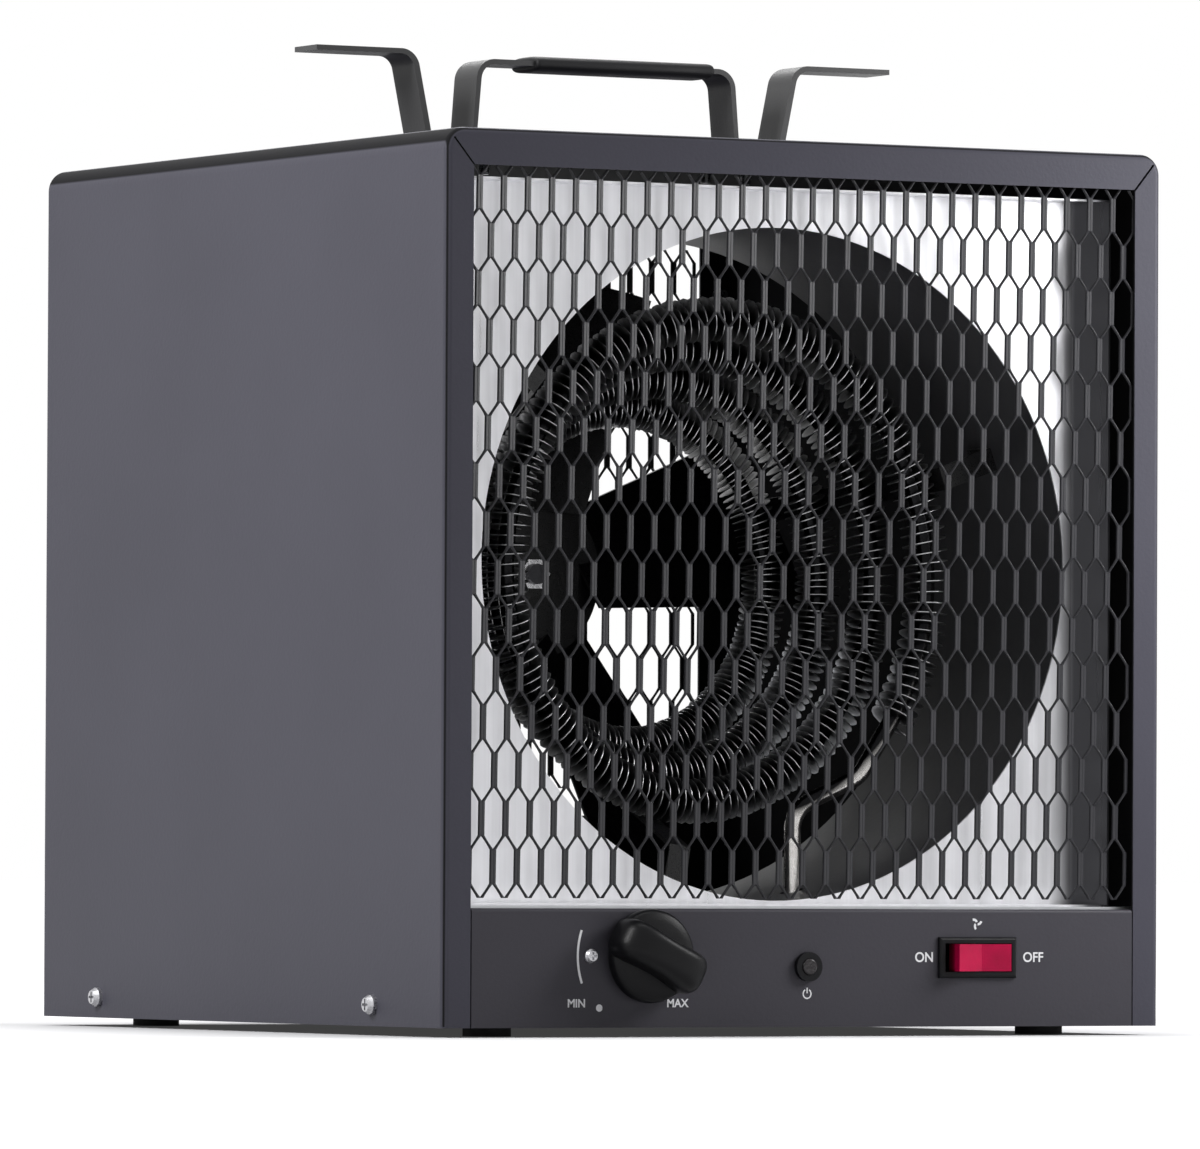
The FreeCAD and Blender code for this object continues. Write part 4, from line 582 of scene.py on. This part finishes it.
def knob_points(along, beside, forward):
    """Places knob coordinates, measured along and beside the pointer and forward from the back, in the frame."""
    x = KNOB_CENTRE_X + along * math.cos(KNOB_POINTER) + beside * math.sin(KNOB_POINTER)
    z = KNOB_CENTRE_Z - along * math.sin(KNOB_POINTER) + beside * math.cos(KNOB_POINTER)
    return np.stack([x, KNOB_BACK - forward, z], axis=-1)


def dial_knob():
    """Round skirt turned from a profile, with a finger bar on it that is a squared-off ellipsoid.

    The bar's half width is drawn in towards its middle, so that its flanks are hollow.
    """
    around = np.linspace(0.0, 2 * math.pi, 96, endpoint=False)
    radius, height = SKIRT_PROFILE[:, :1], SKIRT_PROFILE[:, 1:]
    skirt = knob_points(radius * np.cos(around), radius * np.sin(around),
                        np.broadcast_to(height, (len(height), len(around))))

    swing = np.linspace(-math.pi, math.pi, 96, endpoint=False)
    rise = np.linspace(0.0, math.pi / 2, 24, endpoint=False)[:, None]
    taper = rounded_power(np.cos(rise), BAR_TAPER_POWER)
    along = BAR_LENGTH * taper * rounded_power(np.cos(swing), BAR_END_POWER)
    towards_end = (along / BAR_LENGTH) ** 2
    hollow = BAR_WAIST + (1.0 - BAR_WAIST) * np.minimum(1.0, towards_end * BAR_WAIST_SPREAD)
    beside = BAR_WIDTH * taper * rounded_power(np.sin(swing), BAR_FLANK_POWER) * hollow
    forward = BAR_ROOT + (KNOB_REACH - BAR_ROOT) * rounded_power(np.sin(rise), BAR_RISE_POWER)
    crown = 1.0 - BAR_CROWN * towards_end
    grip = knob_points(along, beside, forward * crown)

    points = np.concatenate([skirt.reshape(-1, 3), grip.reshape(-1, 3)])
    faces = bar_faces(1, len(height), len(around))
    offset = skirt.shape[0] * skirt.shape[1]
    faces += [[corner + offset for corner in face] for face in bar_faces(1, len(rise), len(swing))]
    obj = add_piece("dial_knob", points, faces, "knob", FINISHES["knob_plastic"], crease_deg=40.0)
    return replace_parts(obj, "thermostat_knob")


dial_knob()


# Soft sleeve on the handle

GRIP_LOW, GRIP_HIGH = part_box("handle_grip")
GRIP_SHORT = 11.0 * MM
GRIP_LIP = 1.6 * MM
GRIP_SQUARENESS = 0.6


def grip_sleeve():
    """Slipped-on sleeve: a squared-off ellipse swept along X, rounded at both ends, short of its left stop."""
    around = np.linspace(0.0, 2 * math.pi, 48, endpoint=False)
    turn = np.linspace(0.0, math.pi / 2, 7)
    lip = GRIP_LIP * (1.0 - np.cos(turn))
    drawn_in = GRIP_LIP * (1.0 - np.sin(turn))
    x = np.concatenate([GRIP_LOW.x + GRIP_SHORT + lip, GRIP_HIGH.x - lip[::-1]])[:, None]
    inset = np.concatenate([drawn_in, drawn_in[::-1]])[:, None]
    middle, half = (GRIP_LOW + GRIP_HIGH) / 2, (GRIP_HIGH - GRIP_LOW) / 2
    y = middle.y + (half.y - inset) * rounded_power(np.cos(around), GRIP_SQUARENESS)
    z = middle.z + (half.z - inset) * rounded_power(np.sin(around), GRIP_SQUARENESS)
    points = np.stack([np.broadcast_to(x, y.shape), y, z], axis=-1)
    obj = add_piece("grip_sleeve", points, bar_faces(1, len(x), len(around)), "cabinet", FINISHES["soft_grip"],
                    crease_deg=50.0)
    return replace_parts(obj, "handle_grip")


grip_sleeve()


# Printed marks on the control panel

PRINT_LIFT = 0.02 * MM
PRINT_DEPTH = 0.06 * MM
PRINT_BOLD = 0.09 * MM
CAPITAL_SHARE = 0.7
PRINT_FACE = PANEL_LOW.y - PRINT_LIFT
PRINT = moulded("print_white", (0.72, 0.72, 0.74), 0.5, 900.0)
SWITCH_LOW, SWITCH_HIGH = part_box("switch_housing")
LAMP_LOW, LAMP_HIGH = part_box("indicator_bezel")
SWEEP_RADIUS = 29.5 * MM
SWEEP_SPAN_DEG = (161.0, 200.0)
SWEEP_LINE = 0.9 * MM
DOT_LEFT = 20.3 * MM
DOT_DROP = 19.2 * MM
DOT_RADIUS = 0.7 * MM
DOT_LINE = 1.3 * MM
MIN_LEFT = 30.0 * MM
MAX_RIGHT = 13.0 * MM
DIAL_WORD_DROP = 17.6 * MM
DIAL_WORD = 3.0 * MM
ON_LEFT = 6.0 * MM
OFF_RIGHT = 8.0 * MM
SWITCH_WORD = 3.6 * MM
RING_DROP = 4.6 * MM
RING_RADIUS = 1.7 * MM
RING_SPAN_DEG = (120.0, 420.0)
RING_BAR = np.array([0.2, 2.3]) * MM
SIGN_LINE = 0.5 * MM
FAN_SIGN_RISE = 5.2 * MM
BLADE_ROOT = 0.5 * MM
BLADE_REACH = 1.7 * MM
BLADE_BEND = 0.9
BLADE_LINE = 0.9 * MM


def printed_stroke(name, x, z, width):
    """A flat printed line: a thin rectangular bar along a path on the panel's face."""
    path = np.stack([x, z], axis=-1)
    way = unit(np.gradient(path, axis=0))
    beside = np.stack([-way[:, 1], way[:, 0]], axis=-1) * width / 2
    left = path + beside
    right = path - beside
    front = np.full(len(path), PRINT_FACE - PRINT_DEPTH)
    back = np.full(len(path), PRINT_FACE)
    points = np.stack([np.stack([left[:, 0], back, left[:, 1]], axis=-1),
                       np.stack([left[:, 0], front, left[:, 1]], axis=-1),
                       np.stack([right[:, 0], front, right[:, 1]], axis=-1),
                       np.stack([right[:, 0], back, right[:, 1]], axis=-1)], axis=1)
    return add_piece(name, points, bar_faces(1, len(path), 4), "cabinet", PRINT)


def printed_arc(name, centre, radius, first_deg, last_deg, width):
    """A printed arc about a centre, between two angles from +X."""
    angle = np.radians(np.linspace(first_deg, last_deg, 40))
    return printed_stroke(name, centre[0] + radius * np.cos(angle), centre[1] + radius * np.sin(angle), width)


def printed_word(name, word, centre, height):
    """A printed word: Blender's own font made a thin mesh that stands on the panel's face."""
    curve = bpy.data.curves.new(name, "FONT")
    curve.body = word
    curve.align_x = "CENTER"
    curve.align_y = "CENTER"
    curve.size = height / CAPITAL_SHARE
    curve.extrude = PRINT_DEPTH / 2
    curve.offset = PRINT_BOLD
    text = bpy.data.objects.new(name + "_text", curve)
    bpy.context.scene.collection.objects.link(text)
    bpy.context.view_layer.update()
    mesh = bpy.data.meshes.new_from_object(text.evaluated_get(bpy.context.evaluated_depsgraph_get()))
    bpy.data.objects.remove(text)
    place = Matrix.Translation((centre[0], PRINT_FACE - PRINT_DEPTH / 2, centre[1]))
    mesh.transform(place @ Matrix.Rotation(math.radians(90.0), 4, "X"))
    obj = bpy.data.objects.new(name, mesh)
    bpy.context.scene.collection.objects.link(obj)
    wear(obj, PRINT)
    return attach(obj, "cabinet")


def dial_marks():
    """Sweep line left of the dial, a dot at its low end, and words for the two ends."""
    centre = (KNOB_CENTRE_X, KNOB_CENTRE_Z)
    printed_arc("dial_sweep", centre, SWEEP_RADIUS, *SWEEP_SPAN_DEG, SWEEP_LINE)
    dot = (centre[0] - DOT_LEFT, centre[1] - DOT_DROP)
    printed_arc("dial_low_dot", dot, DOT_RADIUS, 0.0, 360.0, DOT_LINE)
    printed_word("dial_min", "MIN", (centre[0] - MIN_LEFT, centre[1] - DIAL_WORD_DROP), DIAL_WORD)
    printed_word("dial_max", "MAX", (centre[0] + MAX_RIGHT, centre[1] - DIAL_WORD_DROP), DIAL_WORD)


def lamp_mark():
    """Power symbol under the lamp: an open ring with a bar in its gap."""
    x = (LAMP_LOW.x + LAMP_HIGH.x) / 2
    z = LAMP_LOW.z - RING_DROP
    printed_arc("lamp_ring", (x, z), RING_RADIUS, *RING_SPAN_DEG, SIGN_LINE)
    printed_stroke("lamp_bar", np.full(2, x), z + RING_BAR, SIGN_LINE)


def switch_marks():
    """Words at both ends of the rocker, and a small fan sign over it."""
    middle_x = (SWITCH_LOW.x + SWITCH_HIGH.x) / 2
    middle_z = (SWITCH_LOW.z + SWITCH_HIGH.z) / 2
    printed_word("switch_on", "ON", (SWITCH_LOW.x - ON_LEFT, middle_z), SWITCH_WORD)
    printed_word("switch_off", "OFF", (SWITCH_HIGH.x + OFF_RIGHT, middle_z), SWITCH_WORD)
    hub = (middle_x, SWITCH_HIGH.z + FAN_SIGN_RISE)
    sweep = np.linspace(0.0, 1.0, 16)
    radius = BLADE_ROOT + BLADE_REACH * sweep
    for blade in range(3):
        bend = math.radians(90.0 + 120.0 * blade) + BLADE_BEND * sweep
        printed_stroke(f"fan_sign_{blade}", hub[0] + radius * np.cos(bend), hub[1] + radius * np.sin(bend), BLADE_LINE)


dial_marks()
lamp_mark()
switch_marks()


# Floor, world and lamps

FLOOR_HALF = 30.0
FLOOR_COLOUR = (0.56, 0.56, 0.57, 1.0)
# Reach and lowest level of the floor's glow near the object, which paint a soft shadow there
PAINTED_SHADOW_REACH = 0.25
GLOW_UNDER = 0.05
AMBIENT = 0.13
WHITE = (1.0, 1.0, 1.0, 1.0)
# Name, place, aim, size, power in watts, and whether shiny surfaces mirror it
LAMPS = (
    ("key_right", (0.44, -0.42, 0.36), (0.12, -0.16, 0.17), 0.24, 2.1, False),
    ("key_glint", (0.43, -0.40, 0.35), (0.12, -0.16, 0.17), 0.24, 1.8, True),
    ("fill_left", (-1.0, -0.06, 0.8), (-0.15, 0.0, 0.17), 0.4, 13.5, True),
    ("top", (0.1, 0.0, 1.6), (0.0, 0.0, 0.2), 1.0, 10.0, True),
    ("back", (0.2, 0.95, 1.35), (0.0, 0.16, 0.17), 0.6, 12.0, True),
)


def white_when_seen(tree):
    """Share of white for rays that see or mirror the background: camera, glossy and transmission rays."""
    light_path = node(tree, "ShaderNodeLightPath").outputs
    seen = sums(tree, "MAXIMUM", light_path["Is Camera Ray"], light_path["Is Glossy Ray"])
    return sums(tree, "MAXIMUM", seen, light_path["Is Transmission Ray"])


def pale_floor():
    """Floor that keeps the shadow: matt and pale, plus a glow that only the camera and mirrors see.

    The glow is weakest under the object and nears white with the distance from its footprint, as 1 less a falling
    exponential, so that the floor stays white where the lamps fall off. Its fall towards the footprint paints a soft
    shadow under and round the object, on top of the real one.
    """
    corners = [(-FLOOR_HALF, -FLOOR_HALF, 0.0), (FLOOR_HALF, -FLOOR_HALF, 0.0),
               (FLOOR_HALF, FLOOR_HALF, 0.0), (-FLOOR_HALF, FLOOR_HALF, 0.0)]
    mesh = bpy.data.meshes.new("floor")
    mesh.from_pydata(corners, [], [(0, 1, 2, 3)])
    floor = bpy.data.objects.new("floor", mesh)
    bpy.context.scene.collection.objects.link(floor)
    made = bpy.data.materials.new("floor_white")
    made.use_nodes = True
    tree = made.node_tree
    shader = tree.nodes["Principled BSDF"]
    shader.inputs["Base Color"].default_value = FLOOR_COLOUR
    shader.inputs["Roughness"].default_value = 0.9
    shader.inputs["Specular IOR Level"].default_value = 0.0
    shader.inputs["Emission Color"].default_value = WHITE
    place = node(tree, "ShaderNodeTexCoord").outputs["Object"]
    apart = node(tree, "ShaderNodeVectorMath", {0: place}, operation="ABSOLUTE").outputs["Vector"]
    for operation, operand in (("SUBTRACT", (CABINET_HIGH.x, CABINET_HIGH.y, 0.0)), ("MAXIMUM", (0.0, 0.0, 0.0))):
        apart = node(tree, "ShaderNodeVectorMath", {0: apart, 1: operand}, operation=operation).outputs["Vector"]
    away = node(tree, "ShaderNodeVectorMath", {0: apart}, operation="LENGTH").outputs["Value"]
    # Painted shadow: the glow falls towards the footprint
    shade = sums(tree, "POWER", math.exp(-1.0 / PAINTED_SHADOW_REACH), away)
    glow = node(tree, "ShaderNodeMapRange", {"Value": shade, "To Min": 1.0, "To Max": GLOW_UNDER}).outputs["Result"]
    strength = sums(tree, "MULTIPLY", white_when_seen(tree), glow)
    tree.links.new(strength, shader.inputs["Emission Strength"])
    wear(floor, made)


def studio_world():
    """White where it is seen or mirrored, and a plain even light elsewhere."""
    world = bpy.data.worlds.new("studio")
    world.use_nodes = True
    tree = world.node_tree
    background = tree.nodes["Background"]
    level = node(tree, "ShaderNodeMapRange", {"Value": white_when_seen(tree), "To Min": AMBIENT})
    background.inputs["Color"].default_value = WHITE
    tree.links.new(level.outputs["Result"], background.inputs["Strength"])
    bpy.context.scene.world = world


def soft_lamp(name, place, aim, size, power, mirrored):
    """Square area lamp at a place, turned towards a point."""
    light = bpy.data.lights.new(name, "AREA")
    light.size = size
    light.energy = power
    lamp = bpy.data.objects.new(name, light)
    bpy.context.scene.collection.objects.link(lamp)
    back = unit(np.array(place) - np.array(aim))
    side = unit(np.cross((0.0, 0.0, 1.0), back))
    turn = np.eye(4)
    turn[:3, :3] = np.stack([side, np.cross(back, side), back], axis=1)
    turn[:3, 3] = place
    lamp.matrix_world = Matrix(turn.tolist())
    lamp.visible_camera = False
    lamp.visible_glossy = mirrored


pale_floor()
studio_world()
for lamp in LAMPS:
    soft_lamp(*lamp)


# Camera at the photograph's viewpoint

CAMERA_PLACE = (-2.1386, -3.7967, 0.0640)
CAMERA_YAW = math.radians(29.425)
CAMERA_PITCH = math.radians(-1.471)
CAMERA_ROLL = math.radians(0.260)
CAMERA_LENS = 338.3
SENSOR = 36.0


def photograph_camera():
    """Camera that looks along +Y, turned by yaw to the right, by pitch and by roll."""
    data = bpy.data.cameras.new("photograph")
    data.sensor_width = SENSOR
    data.lens = CAMERA_LENS
    data.clip_start = 0.1
    data.clip_end = 100.0
    camera = bpy.data.objects.new("photograph", data)
    bpy.context.scene.collection.objects.link(camera)
    level = Matrix.Rotation(math.radians(90.0), 4, "X")
    turn = (Matrix.Rotation(-CAMERA_YAW, 4, "Z") @ Matrix.Rotation(-CAMERA_PITCH, 4, "X") @ level
            @ Matrix.Rotation(CAMERA_ROLL, 4, "Z"))
    camera.matrix_world = Matrix.Translation(CAMERA_PLACE) @ turn
    bpy.context.scene.camera = camera


photograph_camera()
bpy.context.scene.view_settings.view_transform = "Standard"
